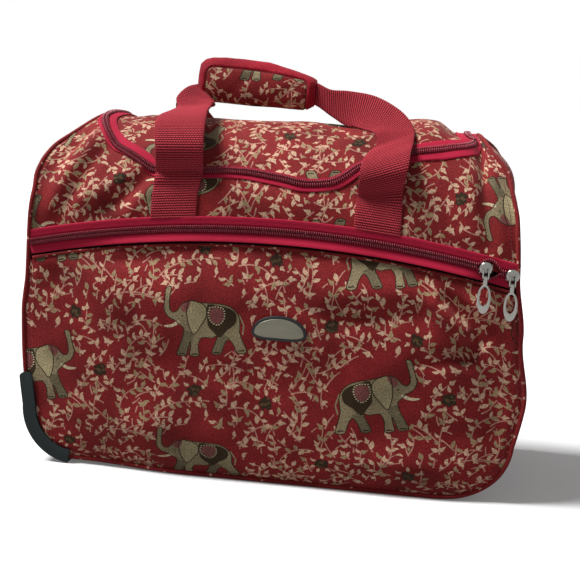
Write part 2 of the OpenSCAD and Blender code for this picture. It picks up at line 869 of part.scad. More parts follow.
// A low moulded foot under the bottom, as long as it is across the bag
module skid_foot(side) {
    low = foot_w / 2 - foot_taper;
    high = foot_w / 2;
    color("#22292b") translate([foot_x, mid_y + side * wheel_track / 2, 0]) rotate([90, 0, 0])
        linear_extrude(foot_d, center = true)
            polygon([[-low, 0], [low, 0], [high, base_lift], [-high, base_lift]]);
}

module front_foot() {
    skid_foot(-1);
}

module rear_foot() {
    skid_foot(1);
}

// The moulded cup that the hand bar rests in, with a lip that follows the rounded corner
module handle_cup() {
    lip_l = cup_half_l + cup_wall + cup_lip;
    lip_h = cup_half_h + cup_wall + cup_lip;
    color("#1f2426") difference() {
        union() {
            intersection() {
                translate([cup_back_x, mid_y - cup_half_l - cup_wall, tube_z - cup_half_h - cup_wall])
                    cube([body_w, 2 * (cup_half_l + cup_wall), 2 * (cup_half_h + cup_wall)]);
                along_depth(-body_d, body_d) polygon(front_outline(-seam));
            }
            intersection() {
                translate([cup_back_x, mid_y - lip_l, tube_z - lip_h])
                    cube([body_w, 2 * lip_l, 2 * lip_h]);
                along_depth(-body_d, body_d) difference() {
                    polygon(front_outline(-cup_wall));
                    polygon(front_outline(-seam));
                }
            }
        }
        translate([cup_back_x + cup_wall, mid_y - cup_half_l, tube_z - cup_half_h])
            cube([body_w, 2 * cup_half_l, 2 * cup_half_h]);
        for (side = [-1, 1])
            tube_place(side, cup_back_x - cut) cylinder(r = tube_r + running, h = cup_wall + 2 * cut);
    }
}

// The line of one handle tube, from a place along the bag towards its right end
module tube_place(side, x) {
    translate([x, mid_y + side * tube_spacing / 2, tube_z]) rotate([0, 90, 0]) children();
}

module handle_tube(side, x, r, length) {
    tube_place(side, x) difference() {
        cylinder(r = r, h = length);
        translate([0, 0, -cut]) cylinder(r = r - tube_wall, h = length + 2 * cut);
    }
}

module front_outer_tube() {
    color("#b9bcbd") handle_tube(-1, tube_end_x, tube_r, tube_l);
}

module rear_outer_tube() {
    color("#b9bcbd") handle_tube(1, tube_end_x, tube_r, tube_l);
}

module inner_tube(side) {
    color("#d2d4d4")
        handle_tube(side, bar_x + inner_grip_depth - inner_l, inner_r, inner_l);
}

module front_inner_tube() {
    inner_tube(-1);
}

module rear_inner_tube() {
    inner_tube(1);
}

module hand_bar() {
    pocket_l = button_l + 2 * slide_gap;
    pocket_h = button_h + 2 * slide_gap;
    pocket_d = button_depth - button_proud + button_travel + slide_gap;
    color("#202526") difference() {
        translate([bar_x + bar_d / 2, mid_y, tube_z]) rotate([90, 0, 0])
            linear_extrude(bar_l, center = true) rounded_plate(bar_d, bar_h, bar_round);
        for (side = [-1, 1])
            tube_place(side, bar_x - cut) cylinder(r = inner_r + running, h = inner_grip_depth + cut);
        translate([bar_x + bar_d - pocket_d, mid_y - pocket_l / 2, tube_z - pocket_h / 2])
            cube([pocket_d + cut, pocket_l, pocket_h]);
    }
}

module bar_button() {
    color("#4b5052") translate([bar_x + bar_d + button_proud - button_depth, mid_y, tube_z])
        rotate([0, 90, 0]) linear_extrude(button_depth)
            rounded_plate(button_h, button_l, button_h / 4);
}

module tube_bracket() {
    half = tube_spacing / 2 + tube_r + bracket_margin;
    top = tube_z + tube_r + bracket_margin / 2;
    low = board_z + board_t;
    color("#262a2b") difference() {
        translate([tube_end_x - bracket_margin, mid_y - half, low])
            cube([bracket_l, 2 * half, top - low]);
        for (side = [-1, 1])
            tube_place(side, tube_end_x) cylinder(r = tube_r + running, h = bracket_l);
        translate([tube_end_x - bracket_margin - cut, mid_y - half + 2 * (tube_r + bracket_margin),
            low + bracket_margin])
            cube([bracket_l + 2 * cut, 2 * half - 4 * (tube_r + bracket_margin), top]);
    }
}

pocket_panel();
pocket_back_panel();
front_yoke();
lid_panel();
back_panel();
left_end_panel();
right_end_panel();
bottom_panel();
bottom_board();
edge_piping();
pocket_welt();
pocket_zip_upper_tape();
pocket_zip_lower_tape();
pocket_zip_upper_coil();
pocket_zip_lower_coil();
pocket_slider_left();
pocket_slider_right();
pocket_pull_left();
pocket_pull_right();
lid_zip_outer_tape();
lid_zip_inner_tape();
lid_zip_coil();
lid_slider();
lid_pull();
front_strap();
back_strap();
grip_wrap();
badge_base();
badge_plate();
wheel_base();
front_axle();
rear_axle();
front_wheel_hub();
front_wheel_tyre();
rear_wheel_hub();
rear_wheel_tyre();
front_foot();
rear_foot();
handle_cup();
front_outer_tube();
rear_outer_tube();
front_inner_tube();
rear_inner_tube();
hand_bar();
bar_button();
tube_bracket();
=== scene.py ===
"""Looks of a soft-sided wheeled carry-on bag in red brocade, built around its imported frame.

Lengths are millimetres until a mesh is made. The cloth is worked out in the bag's own place, with Y counted
from the middle of the bag, and is moved into the frame when its mesh is made.
"""
import math

import bmesh
import bpy
import numpy as np
from mathutils import Matrix, Vector
from mathutils.geometry import delaunay_2d_cdt


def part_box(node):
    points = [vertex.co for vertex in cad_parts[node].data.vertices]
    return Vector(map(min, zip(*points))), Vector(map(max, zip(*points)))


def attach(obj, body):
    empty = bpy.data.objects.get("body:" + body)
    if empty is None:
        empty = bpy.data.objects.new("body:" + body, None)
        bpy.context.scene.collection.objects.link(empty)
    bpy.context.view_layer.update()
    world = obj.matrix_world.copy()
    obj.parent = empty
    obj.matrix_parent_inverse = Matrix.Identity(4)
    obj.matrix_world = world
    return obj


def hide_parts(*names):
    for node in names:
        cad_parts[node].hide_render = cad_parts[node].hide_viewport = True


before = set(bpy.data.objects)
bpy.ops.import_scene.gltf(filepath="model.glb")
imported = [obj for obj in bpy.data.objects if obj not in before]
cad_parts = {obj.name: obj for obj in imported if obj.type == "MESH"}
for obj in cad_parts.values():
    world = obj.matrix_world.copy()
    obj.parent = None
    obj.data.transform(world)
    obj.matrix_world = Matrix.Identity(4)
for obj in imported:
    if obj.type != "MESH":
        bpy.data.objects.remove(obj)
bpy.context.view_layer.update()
MM = 0.001


def box_mm(node):
    low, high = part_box(node)
    return np.array(low) / MM, np.array(high) / MM


def middle_mm(node):
    """Middle and half size of a node's box"""
    low, high = box_mm(node)
    return (low + high) / 2, (high - low) / 2


# Sizes measured on the frame
FRONT_Y, BACK_Y = box_mm("front_yoke")[0][1], box_mm("back_panel")[1][1]
MID_Y, HALF_D = (FRONT_Y + BACK_Y) / 2, (BACK_Y - FRONT_Y) / 2
CREST = box_mm("lid_panel")[1][2]
SHOULDER = CREST - HALF_D
BASE = box_mm("bottom_panel")[0][2]
HALF_W = box_mm("right_end_panel")[1][0]
QUARTER = HALF_D * math.pi / 2
WALL_RUN = QUARTER + SHOULDER - BASE

# Sizes of the sewn body that the frame's boxes don't give
BOTTOM_R, TOP_R = 54.0, 60.0
FOOT_TUCK, TOP_TUCK = 12.0, 8.0
OUTLINE_RISE = 3.0
CORNER_X, CORNER_Z = HALF_W - FOOT_TUCK - BOTTOM_R, BASE + BOTTOM_R
TOP_CORNER_X, TOP_CORNER_Z = HALF_W - TOP_TUCK - TOP_R, CREST + OUTLINE_RISE - TOP_R
PIPING_R, PIPING_STEP = 2.5, 2.6
CLOTH_EDGE = 0.6

# Webbing
RIB_PITCH, RIB_H, FLOAT_L = 3.6, 0.4, 2.6

# Zips
TAPE_W, TAPE_T, TAPE_LIFT = 13.0, 1.2, 0.4
COIL_HALF_W, COIL_LIFT, COIL_H = 3.8, 1.7, 2.5
COIL_GAP = 0.4
TOOTH_PITCH = 2.3
ZIP_R = 1130.0
ZIP_TOP = box_mm("pocket_zip_upper_tape")[1][2] - TAPE_W
ZIP_CENTRE_Z = ZIP_TOP - ZIP_R
ZIP_HALF_W = box_mm("pocket_zip_lower_coil")[1][0]
SHELF, SLOT = 5.0, 3.6
WELT_R, WELT_LIFT = 1.6, 1.5
WELT_ACROSS = -(TAPE_W + SLOT)

# Pocket and badge
POCKET_ACROSS = WELT_ACROSS - WELT_R + 0.6
POCKET_BULGE, POCKET_LIFT, POCKET_LEAST = 17.0, 3.3, 1.5
badge_middle, badge_half = middle_mm("badge_base")
BADGE_X, BADGE_Z = badge_middle[0], badge_middle[2]
BADGE_HALF_W, BADGE_HALF_H = badge_half[0], badge_half[2]
BADGE_BACK = MID_Y - HALF_D - box_mm("badge_base")[1][1]


def ease(t):
    t = np.clip(t, 0.0, 1.0)
    return t * t * (3 - 2 * t)


def ramp(value, start, reach):
    """0 up to a start, then a soft rise to 1 over a reach"""
    return ease((value - start) / reach)


def bell(value, centre, width):
    return np.exp(-((value - centre) / width) ** 2)


def columns(*parts):
    """Points from rows of their coordinates"""
    return np.stack(parts, axis=1)


def toward(angle):
    return np.array([math.cos(angle), math.sin(angle)])


def unit(rows):
    return rows / np.maximum(np.linalg.norm(rows, axis=-1, keepdims=True), 1e-9)


TURN_LEFT = np.array([[0, 1], [-1, 0]])


def round_angles(count):
    """Even angles once round"""
    return np.arange(count) / count * 2 * math.pi


def soft_curve(value, places, heights):
    """A smooth line through given heights at given places, level at each of them"""
    index = np.clip(np.searchsorted(places, value) - 1, 0, len(places) - 2)
    places, heights = np.array(places, float), np.array(heights, float)
    share = ease((value - places[index]) / (places[index + 1] - places[index]))
    return heights[index] + (heights[index + 1] - heights[index]) * share


def spline(points, steps, closed=False):
    """A smooth line through given points, with steps pieces between each pair"""
    p = np.array(points, float)
    count = len(p)
    rows = []
    for i in range(count if closed else count - 1):
        if closed:
            a, b, c, d = p[i - 1], p[i], p[(i + 1) % count], p[(i + 2) % count]
        else:
            a, b, c, d = p[max(i - 1, 0)], p[i], p[i + 1], p[min(i + 2, count - 1)]
        for t in np.arange(steps) / steps:
            rows.append(0.5 * (2 * b + (c - a) * t + (2 * a - 5 * b + 4 * c - d) * t * t
                               + (3 * b - a - 3 * c + d) * t ** 3))
    if not closed:
        rows.append(p[-1])
    return np.array(rows)


def way_along(line):
    """The way along a line to each of its points"""
    return np.concatenate([[0], np.cumsum(np.linalg.norm(np.diff(line, axis=0), axis=1))])


def even_steps(line, step):
    """The same line with its points a step apart"""
    line = np.array(line, float)
    way = way_along(line)
    places = np.linspace(0, way[-1], max(int(round(way[-1] / step)), 1) + 1)
    return columns(*(np.interp(places, way, row) for row in line.T))


def even_loop(loop, step):
    """The same closed line with its points a step apart"""
    return even_steps(np.concatenate([loop, loop[:1]]), step)[:-1]


# The bag's surface

def outline_x(z):
    """Half width of the bag at a height"""
    z = np.asarray(z, float)
    t = (z - CORNER_Z) / (TOP_CORNER_Z - CORNER_Z)
    barrel = HALF_W - np.where(t < 0.5, FOOT_TUCK, TOP_TUCK) * (2 * t - 1) ** 2
    low = CORNER_X + np.sqrt(np.maximum(BOTTOM_R ** 2 - np.minimum(z - CORNER_Z, 0) ** 2, 0))
    high = TOP_CORNER_X + np.sqrt(np.maximum(TOP_R ** 2 - np.maximum(z - TOP_CORNER_Z, 0) ** 2, 0))
    return np.where(z < CORNER_Z, low, np.where(z < TOP_CORNER_Z, barrel, high))


def foot_arc(count, inset=0.0):
    """The round bottom right corner of the front's outline: across, height"""
    r = BOTTOM_R - inset
    angles = np.linspace(-math.pi / 2, 0, count)
    return [(CORNER_X + r * math.cos(a), CORNER_Z + r * math.sin(a)) for a in angles]


def side_rise(heights, inset=0.0):
    """The right side of the front's outline at given heights: across, height"""
    return [(float(outline_x(z)) - inset, float(z)) for z in heights]


def half_depth(z, least):
    """Half depth of the bag's ends at a height, which narrow to the square root of a least value"""
    return np.where(z < SHOULDER, HALF_D, np.sqrt(np.maximum(HALF_D ** 2 - (z - SHOULDER) ** 2, least)))


def run_height(run):
    """Height of a place on the sheet that wraps front, top and back, by its run from the crest"""
    far = np.abs(run)
    return np.where(far < QUARTER, SHOULDER + HALF_D * np.cos(np.minimum(far, QUARTER) / HALF_D),
                    SHOULDER - (far - QUARTER))


def height_run(z):
    """The front run of a height"""
    z = np.asarray(z, float)
    return np.where(z > SHOULDER, -HALF_D * np.arccos(np.clip((z - SHOULDER) / HALF_D, -1, 1)),
                    -(QUARTER + SHOULDER - z))


def zip_height(x, above=0.0):
    """Height of a line at some distance above the arched pocket zip"""
    return ZIP_CENTRE_Z + np.sqrt((ZIP_R + above) ** 2 - np.asarray(x, float) ** 2)


def pocket_top(x):
    return zip_height(x, POCKET_ACROSS)


# How the stuffed bag slumps: heights and the outward shifts of its two ends there
RIGHT_LEAN_Z = [0, 36, 100, 172, 235, 290, 335, 365, 400]
RIGHT_LEAN = [11, 10, 12, -2, -10, -11, -15, -19, -19]
LEFT_LEAN_Z = [0, 90, 160, 200, 290, 315, 345, 400]
LEFT_LEAN = [0, 1, 0, -3, 0, 3, 1, -3]
LEAN_FROM, TOP_LEAN_FROM = 120.0, 192.0
LID_ARM_X = middle_mm("lid_slider")[0][0]
# Rises and dips of the crest: height, place across, width
CREST_RISE, CREST_BULGE, LEFT_DIP = (14.0, 148.0, 52.0), (3.0, 15.0, 50.0), (4.0, -180.0, 16.0)
LEFT_DROOP, RIGHT_DROOP = 15.0, 5.0
BOTTOM_SAG, BOTTOM_FORWARD, SAG_HEIGHT = 3.0, 8.0, 110.0
# Soft ramps of the slump: where each one starts and how far it takes to rise
LEAN_LOW = (LEAN_FROM, HALF_W - LEAN_FROM)
LEAN_HIGH = (TOP_LEAN_FROM, HALF_W - 18 - TOP_LEAN_FROM)
LEAN_TOP = (ZIP_TOP + 10, 60)
ARM_SIDE, ARM_BACK = (8, 26), (-62, 20)
DROOP = (203.0, 40.0)
CALM_BACK, CALM_UP = (-10, 60), (110, 70)
CUP_SIDE, CUP_UNDER = (78.0, 35), (-130.0, 50)
SAG_UNDER, SAG_FRONT = (-SAG_HEIGHT, SAG_HEIGHT), (60, HALF_D - 60)
SAG_LEFT, SAG_RIGHT = (-190, 110), (27 - HALF_W, 60)


def end_share(x, z):
    """How far a place goes with its end of the bag: more narrowly towards the top"""
    top = ramp(z, *LEAN_TOP)
    return ramp(x, *LEAN_LOW) * (1 - top) + ramp(x, *LEAN_HIGH) * top


def soften(p):
    """Where the slumped bag carries points of its taut shape"""
    x, y, z = p[:, 0], p[:, 1], p[:, 2]
    rise, bulge, dip = (height * bell(x, *spot) for height, *spot in (CREST_RISE, CREST_BULGE, LEFT_DIP))
    slider_arm = (1 - ramp(np.abs(x - LID_ARM_X), *ARM_SIDE)) * ramp(y, *ARM_BACK)
    lift = (rise + bulge) * (1 - slider_arm) - dip
    droop = np.where(x < 0, LEFT_DROOP, RIGHT_DROOP) * ramp(np.abs(x), *DROOP)
    calm_back = 1 - ramp(y, *CALM_BACK) * ramp(z, *CALM_UP)
    cup = (1 - ramp(np.abs(y), *CUP_SIDE)) * ramp(-z, *CUP_UNDER)
    right = end_share(x, z) * soft_curve(z, RIGHT_LEAN_Z, RIGHT_LEAN) * calm_back * (1 - cup)
    left = end_share(-x, z) * soft_curve(z, LEFT_LEAN_Z, LEFT_LEAN)
    low = ramp(-z, *SAG_UNDER) * ramp(-y, *SAG_FRONT) * ramp(x, *SAG_LEFT) * ramp(-x, *SAG_RIGHT)
    top = ramp(z, SHOULDER, HALF_D)
    return columns(x + right - left, y - BOTTOM_FORWARD * low, z + top * (lift - droop) - BOTTOM_SAG * low)


FOLD_FADE = 1.9


def crease(flat, folds):
    """Height of soft folds: each is (start, end, width, height), and fades towards its ends"""
    total = np.zeros(len(flat))
    for start, end, width, height in folds:
        a, b = np.array(start, float), np.array(end, float)
        along = b - a
        t = ((flat - a) @ along) / (along @ along)
        gap = np.linalg.norm(flat - a - np.clip(t, 0, 1)[:, None] * along, axis=1)
        total += height * np.exp(-(gap / width) ** 2) * np.cos(np.clip(t - 0.5, -0.5, 0.5) * FOLD_FADE)
    return total


def ripple(flat, size, height, phase=0.0):
    """Gentle unevenness of stuffed cloth"""
    x, y = flat[:, 0] / size + phase, flat[:, 1] / size - phase
    waves = np.sin(x + 1.3 * np.sin(0.7 * y)) * np.sin(0.9 * y + 1.7 + 0.8 * np.sin(0.6 * x))
    return height * (waves + 0.45 * np.sin(2.3 * x - 1.1 * y + 0.6) * np.sin(1.9 * y + 0.8 * x))


# Folds of the sheet over front, top and back: across, run from the crest (front is negative)
WRAP_FOLDS = [
    ((-214, -62), (-247, -140), 9, -6.0), ((-201, -84), (-240, -176), 12, 4.5),
    ((-190, -104), (-228, -186), 8, -4.0), ((-136, -134), (-186, -184), 8, -5.0),
    ((-128, -144), (-160, -188), 7, 2.5), ((-150, -128), (-206, -170), 9, 3.0),
    ((207, -45), (229, -185), 9, -5.5), ((232, -60), (246, -190), 8, 3.0),
    ((186, -84), (206, -170), 14, 3.0), ((70, -140), (150, -160), 12, -3.0),
    ((-70, -150), (60, -160), 16, 3.0), ((40, -18), (110, -22), 10, -4.0),
    ((150, -60), (60, -75), 18, 2.5), ((-60, -60), (-150, -80), 22, -3.0),
    ((-150, 150), (-60, 280), 16, -4.0), ((140, 160), (40, 330), 18, -4.0),
    ((-200, 330), (-60, 380), 14, 3.0), ((60, 250), (190, 300), 16, 3.5),
]
WRAP_QUIET, WRAP_RIPPLE = (3, 22), (17, 0.7)
ARM_QUIET, ARM_QUIET_RUN = (8, 14), -60


def wrap_relief(flat):
    """How far the wrapped sheet stands off its taut shape, level along the sewn edges and zips"""
    z = run_height(flat[:, 1])
    edge = np.minimum(outline_x(z) - np.abs(flat[:, 0]), WALL_RUN - np.abs(flat[:, 1]))
    off_arm = ramp(np.abs(flat[:, 0] - LID_ARM_X), *ARM_QUIET) + (flat[:, 1] < ARM_QUIET_RUN)
    folds = crease(flat, WRAP_FOLDS) + ripple(flat, *WRAP_RIPPLE)
    return ramp(edge, *WRAP_QUIET) * np.clip(off_arm, 0, 1) * folds


def wrap_place(flat, lift):
    """Points of the sheet over front, top and back: across, run from the crest, and height above it"""
    flat = np.asarray(flat, float)
    r = HALF_D + lift + wrap_relief(flat)
    angle = np.clip(flat[:, 1] / HALF_D, -math.pi / 2, math.pi / 2)
    z = np.where(np.abs(flat[:, 1]) < QUARTER, SHOULDER + r * np.cos(angle), run_height(flat[:, 1]))
    return soften(columns(flat[:, 0], r * np.sin(angle), z))


# Folds of the front pocket: across, height
POCKET_FOLDS = [
    ((40, 176), (160, 190), 13, -7.0), ((60, 205), (170, 214), 14, 3.0),
    ((184, 208), (226, 176), 8, -11.0), ((226, 182), (204, 148), 8, -12.0),
    ((174, 202), (210, 170), 10, 9.0), ((204, 150), (160, 142), 9, -6.0),
    ((214, 206), (240, 180), 9, 4.0), ((170, 160), (205, 120), 14, 4.0),
    ((-180, 222), (-120, 232), 9, -5.0), ((-235, 205), (-190, 150), 12, -4.0),
    ((-210, 215), (-150, 175), 14, 3.5), ((-160, 60), (-60, 48), 18, 3.0),
    ((120, 60), (220, 75), 16, -4.0), ((60, 30), (200, 36), 12, 3.0), ((-120, 120), (20, 110), 20, -3.0),
    ((-40, 190), (-150, 200), 20, 3.0), ((228, 120), (240, 60), 8, -3.5),
]
POCKET_QUIET, POCKET_TOP_QUIET, POCKET_TOP_LIFT = (6, 26), (2, 18), (-6, 12)
POCKET_EDGE_FADE, POCKET_RIPPLE = 12, (21, 0.9, 0.7)
# The pocket's swell across and up it: stretch and power of its fall to the edges
SWELL_ACROSS, SWELL_UP = (1.06, 2.6), (1.04, 3.4)
BADGE_CALM = (1.1, 1.2)
BADGE_SEAT, BADGE_HOLD = 0.2, 0.97


def badge_near(flat):
    """1 under the badge, fading to 0 round it, so the cloth lies against its back"""
    reach = np.hypot((flat[:, 0] - BADGE_X) / BADGE_HALF_W, (flat[:, 1] - BADGE_Z) / BADGE_HALF_H)
    return 1 - ramp(reach, *BADGE_CALM)


def domed(share, stretch, power):
    """1 in the middle and 0 at the edge"""
    return 1 - np.clip(share * stretch, 0, 1) ** power


def pocket_lift(flat):
    """How far the filled pocket stands in front of the wall"""
    x, z = flat[:, 0], flat[:, 1]
    side = outline_x(np.maximum(z, CORNER_Z)) - np.abs(x)
    corner = BOTTOM_R - np.hypot(np.maximum(np.abs(x) - CORNER_X, 0), np.maximum(CORNER_Z - z, 0))
    edge = np.where((z < CORNER_Z) & (np.abs(x) > CORNER_X), corner, np.minimum(side, z - BASE))
    top_gap = pocket_top(x) - z
    up = np.abs(2 * (z - BASE) / (pocket_top(x) - BASE) - 1)
    across = np.abs(x) / HALF_W
    swell = POCKET_BULGE * domed(across, *SWELL_ACROSS) * domed(up, *SWELL_UP)
    quiet = ramp(edge, *POCKET_QUIET) * ramp(top_gap, *POCKET_TOP_QUIET) * (1 - BADGE_HOLD * badge_near(flat))
    folds = quiet * (crease(flat, POCKET_FOLDS) + ripple(flat, *POCKET_RIPPLE))
    near_edge = ease(edge / POCKET_EDGE_FADE)
    out = POCKET_LIFT * near_edge * ramp(top_gap, *POCKET_TOP_LIFT) + swell + folds
    return np.maximum(out, POCKET_LEAST * near_edge)


def pocket_place(flat, lift):
    flat = np.asarray(flat, float)
    out = pocket_lift(flat)
    near = badge_near(flat)
    out = out * (1 - near) + np.minimum(out, BADGE_BACK - BADGE_SEAT) * near + lift
    return soften(columns(flat[:, 0], -HALF_D - out, flat[:, 1]))


# The lower tape's slight waves: height, length, and the calm place at the sliders
SWAY_H, SWAY_L, SWAY_CALM = 0.5, 23, (235, 40)


def zip_place(along, across, lift):
    """Points on the arched pocket zip: run along it, distance above it, height off the wall"""
    angle = along / ZIP_R
    r = ZIP_R + across
    sway = SWAY_H * np.sin(along / SWAY_L) * (1 - bell(along, *SWAY_CALM)) * np.clip(-across / TAPE_W, 0, 1)
    taut = columns(r * np.sin(angle), -HALF_D - lift - sway, ZIP_CENTRE_Z + r * np.cos(angle))
    soft = soften(taut)
    soft[:, 2] += np.sqrt(r ** 2 - soft[:, 0] ** 2) - np.sqrt(r ** 2 - taut[:, 0] ** 2)
    return soft


# The zip ends a little inside the outline
ZIP_END_GAP = 1.0
ZIP_END_X = float(outline_x(zip_height(HALF_W - 3))) - ZIP_END_GAP
ZIP_REACH = ZIP_R * math.asin(ZIP_END_X / ZIP_R)


# The lid's seam from its right back end round the front to its left back end: across, run
LID_BACK_RUN = 112.0
LID_STEP = 2.0
LID_SEAM = [
    (LID_ARM_X, LID_BACK_RUN), (LID_ARM_X, 70), (LID_ARM_X, 25), (LID_ARM_X, -26), (199, -43), (203, -57),
    (200, -69), (187, -82), (162, -92), (134, -99.5), (106, -105), (84, -111), (70, -122), (56, -131),
    (40, -135), (22, -136), (4, -132.5), (-16, -129), (-36, -126), (-60, -126), (-90, -128.5),
    (-116, -130.5), (-134, -128.5), (-150, -119), (-166, -108), (-181, -95), (-197, -70), (-205, -46),
    (-203, -22), (-198, 0), (-LID_ARM_X, 25), (-LID_ARM_X, 70), (-LID_ARM_X, LID_BACK_RUN),
]
lid_line = even_steps(spline(LID_SEAM, 8), LID_STEP)
lid_out = unit(np.gradient(lid_line, axis=0) @ TURN_LEFT)
LID_LENGTH = LID_STEP * (len(lid_line) - 1)


def lid_flat(along, across):
    """Places on the unrolled sheet beside the lid's seam"""
    index = np.asarray(along) / LID_LENGTH * (len(lid_line) - 1)
    steps = np.arange(len(lid_line))
    base, out = (columns(*(np.interp(index, steps, row) for row in line.T)) for line in (lid_line, lid_out))
    return base + unit(out) * np.asarray(across)[:, None]


def lid_place(along, across, lift):
    return wrap_place(lid_flat(along, across), lift)


# Yarns of the brocade, in the order in which one lies over another
YARNS = {
    "ground": "#872628", "stem": "#c48e7b", "leaf": "#d4ae91", "dull_leaf": "#a88d6b", "blossom": "#35281b",
    "heart": "#5d4a33", "hide": "#978869", "dusk": "#756a52", "ear": "#b0a17c", "cloth": "#3a2d1e",
    "rose": "#8d5450", "dot": "#d9c6a2", "line": "#31261b", "binding": "#a01d2e",
}
YARN_ORDER = list(YARNS)


def linear(code):
    """Linear colour of a hexadecimal one"""
    parts = [int(code[k:k + 2], 16) / 255 for k in (1, 3, 5)]
    return [c / 12.92 if c <= 0.04045 else ((c + 0.055) / 1.055) ** 2.4 for c in parts]


YARN_COLOURS = np.array([linear(YARNS[name]) + [1.0] for name in YARN_ORDER])

# One repeat of the cloth and where its elephants and blossoms stand in it
TILE = np.array([358.0, 147.0])
ELEPHANTS = [((0, 0), 1), ((180, -64), -1)]
ELEPHANT_TILT = math.radians(7)
ELEPHANT_SCALE = np.array([1.05, 0.95])
BLOSSOMS = [(-108, -62), (-6, -74), (131, 3), (-140, -4), (69, 66)]
ELEPHANT_ROOM = np.array([45.0, 38.0])
BLOSSOM_ROOM = 10.0
LEAF_ROOM = 6.4
LINE_W = 1.0

# An elephant that walks to the left with a raised trunk, drawn round the middle of its side
BODY = [
    (-31, 37), (-34, 38), (-37, 35), (-38, 25), (-40, 14), (-36, 5), (-29, 1), (-25, -4), (-21, -8),
    (-23, -18), (-28, -30), (-30, -37), (-21, -38), (-18, -29), (-15, -23), (-16, -31), (-17, -38), (-8, -39),
    (-8, -28), (-4, -19), (6, -20), (12, -18), (8, -28), (5, -37), (14, -38), (18, -28), (23, -22), (28, -30),
    (31, -38), (40, -37), (37, -26), (34, -14), (35, -1), (30, 10), (20, 16), (6, 18), (-6, 20), (-13, 22),
    (-21, 19), (-26, 12), (-31, 10), (-34, 15), (-33, 27),
]
EAR = [(-15, 21), (-5, 20), (2, 14), (2, 4), (-4, -6), (-11, -15), (-15, -8), (-17, 5)]
CLOTH = [(4, 17), (15, 15), (26, 11), (32, 4), (30, -6), (22, -12), (14, -20), (8, -13), (3, -6), (3, 5)]
ROSE = [(7, 12), (18, 11), (19, 2), (13, -5), (6, 1)]
BROW = [(-23, 15), (-17, 21), (-12, 22), (-15, 13), (-19, 9)]
TUSK = [(-25, -2), (-32, -6), (-39, -6), (-41, -4), (-33, -3), (-26, 1)]
TAIL = [(34, 3), (38, -8), (36, -17), (37.5, -18), (39.5, -8), (35, 5)]
EYE = [(-23.2, 6), (-21.6, 7), (-20.6, 5.8), (-22, 4.8)]
SHADED_LEGS = [
    [(-20, -10), (-11, -15), (-15, -24), (-19, -34), (-21, -38), (-30, -37), (-27, -28), (-23, -18)],
    [(14, -16), (24, -20), (20, -25), (17, -30), (14, -38), (5, -37), (9, -27)],
]
TOES = [(-25, -36), (-12, -37), (10, -36), (35, -35)]
TOE = np.array([(-3, -0.7), (3, -0.7), (3, 0.7), (-3, 0.7)])
BEAD = np.array([(-0.8, -0.6), (0.8, -0.6), (0.8, 0.7), (-0.8, 0.7)])
BEAD_STEP, BEAD_RING = 2.8, 1.16


def outline_strips(loop, width):
    """Narrow strips along each side of a closed line"""
    ends = np.roll(loop, -1, axis=0)
    out = unit(ends - loop) @ TURN_LEFT.T * width / 2
    return [np.array([a - n, b - n, b + n, a + n]) for a, b, n in zip(loop, ends, out)]


def draw_elephant(place, side):
    """Motifs of one elephant: side is 1 when it faces left"""
    hide, ear = spline(BODY, 2, True), spline(EAR, 3, True)
    cloth, rose = spline(CLOTH, 2, True), spline(ROSE, 2, True)
    parts = [("hide", hide), ("hide", np.array(TAIL)), ("ear", ear), ("cloth", cloth), ("rose", rose)]
    parts += [("rose", spline(BROW, 2, True)), ("dot", spline(TUSK, 2, True)), ("line", np.array(EYE))]
    parts += [("dusk", spline(leg, 2, True)) for leg in SHADED_LEGS]
    parts += [("line", strip) for loop in (hide, ear) for strip in outline_strips(loop, LINE_W)]
    parts += [("line", np.array(toe) + TOE) for toe in TOES]
    ring = (rose - rose.mean(axis=0)) * BEAD_RING + rose.mean(axis=0)
    parts += [("dot", spot + BEAD) for spot in even_loop(ring, BEAD_STEP)]
    c, s = toward(ELEPHANT_TILT)
    scale, tilt = np.array([side, 1]), np.array([[c, s], [-s, c]])
    return [(yarn, loop * scale * ELEPHANT_SCALE @ tilt + np.array(place)) for yarn, loop in parts]


LEAF_SHAPES = [
    [(0, 0), (0.2, 0.34), (0.5, 0.5), (0.8, 0.26), (1.05, -0.06), (0.78, -0.34), (0.5, -0.46), (0.2, -0.32)],
    [(0, 0), (0.15, 0.42), (0.38, 0.62), (0.5, 0.3), (0.75, 0.24), (1.05, 0), (0.72, -0.22), (0.52, -0.34),
     (0.34, -0.6), (0.14, -0.34)],
    [(0, 0), (0.25, 0.5), (0.62, 0.56), (0.92, 0.2), (1.0, -0.3), (0.72, -0.12), (0.45, -0.2), (0.2, -0.3)],
]
# Leaves round a blossom: direction and kind
BLOSSOM_LEAVES = ((0.4, 1), (1.5, 0), (2.5, 2), (3.5, 1), (4.3, 0), (5.3, 1))
BLOSSOM_POINTS, BLOSSOM_R, BLOSSOM_SQUASH = 26, (5.0, 8.8), 0.92
HEART_COUNT, HEART_R, HEART_SIZE = 7, (1.0, 5.0), (3.4, 2.2)
RING_R, RING_TURN, RING_LEAF = 7.6, 0.3, (6.6, 4.2)
ANY_TURN = 6.3


def draw_leaf(base, heading, length, width, kind=0):
    along = toward(heading)
    across = np.array([-along[1], along[0]])
    return np.array([base + along * length * a + across * width * b for a, b in LEAF_SHAPES[kind]])


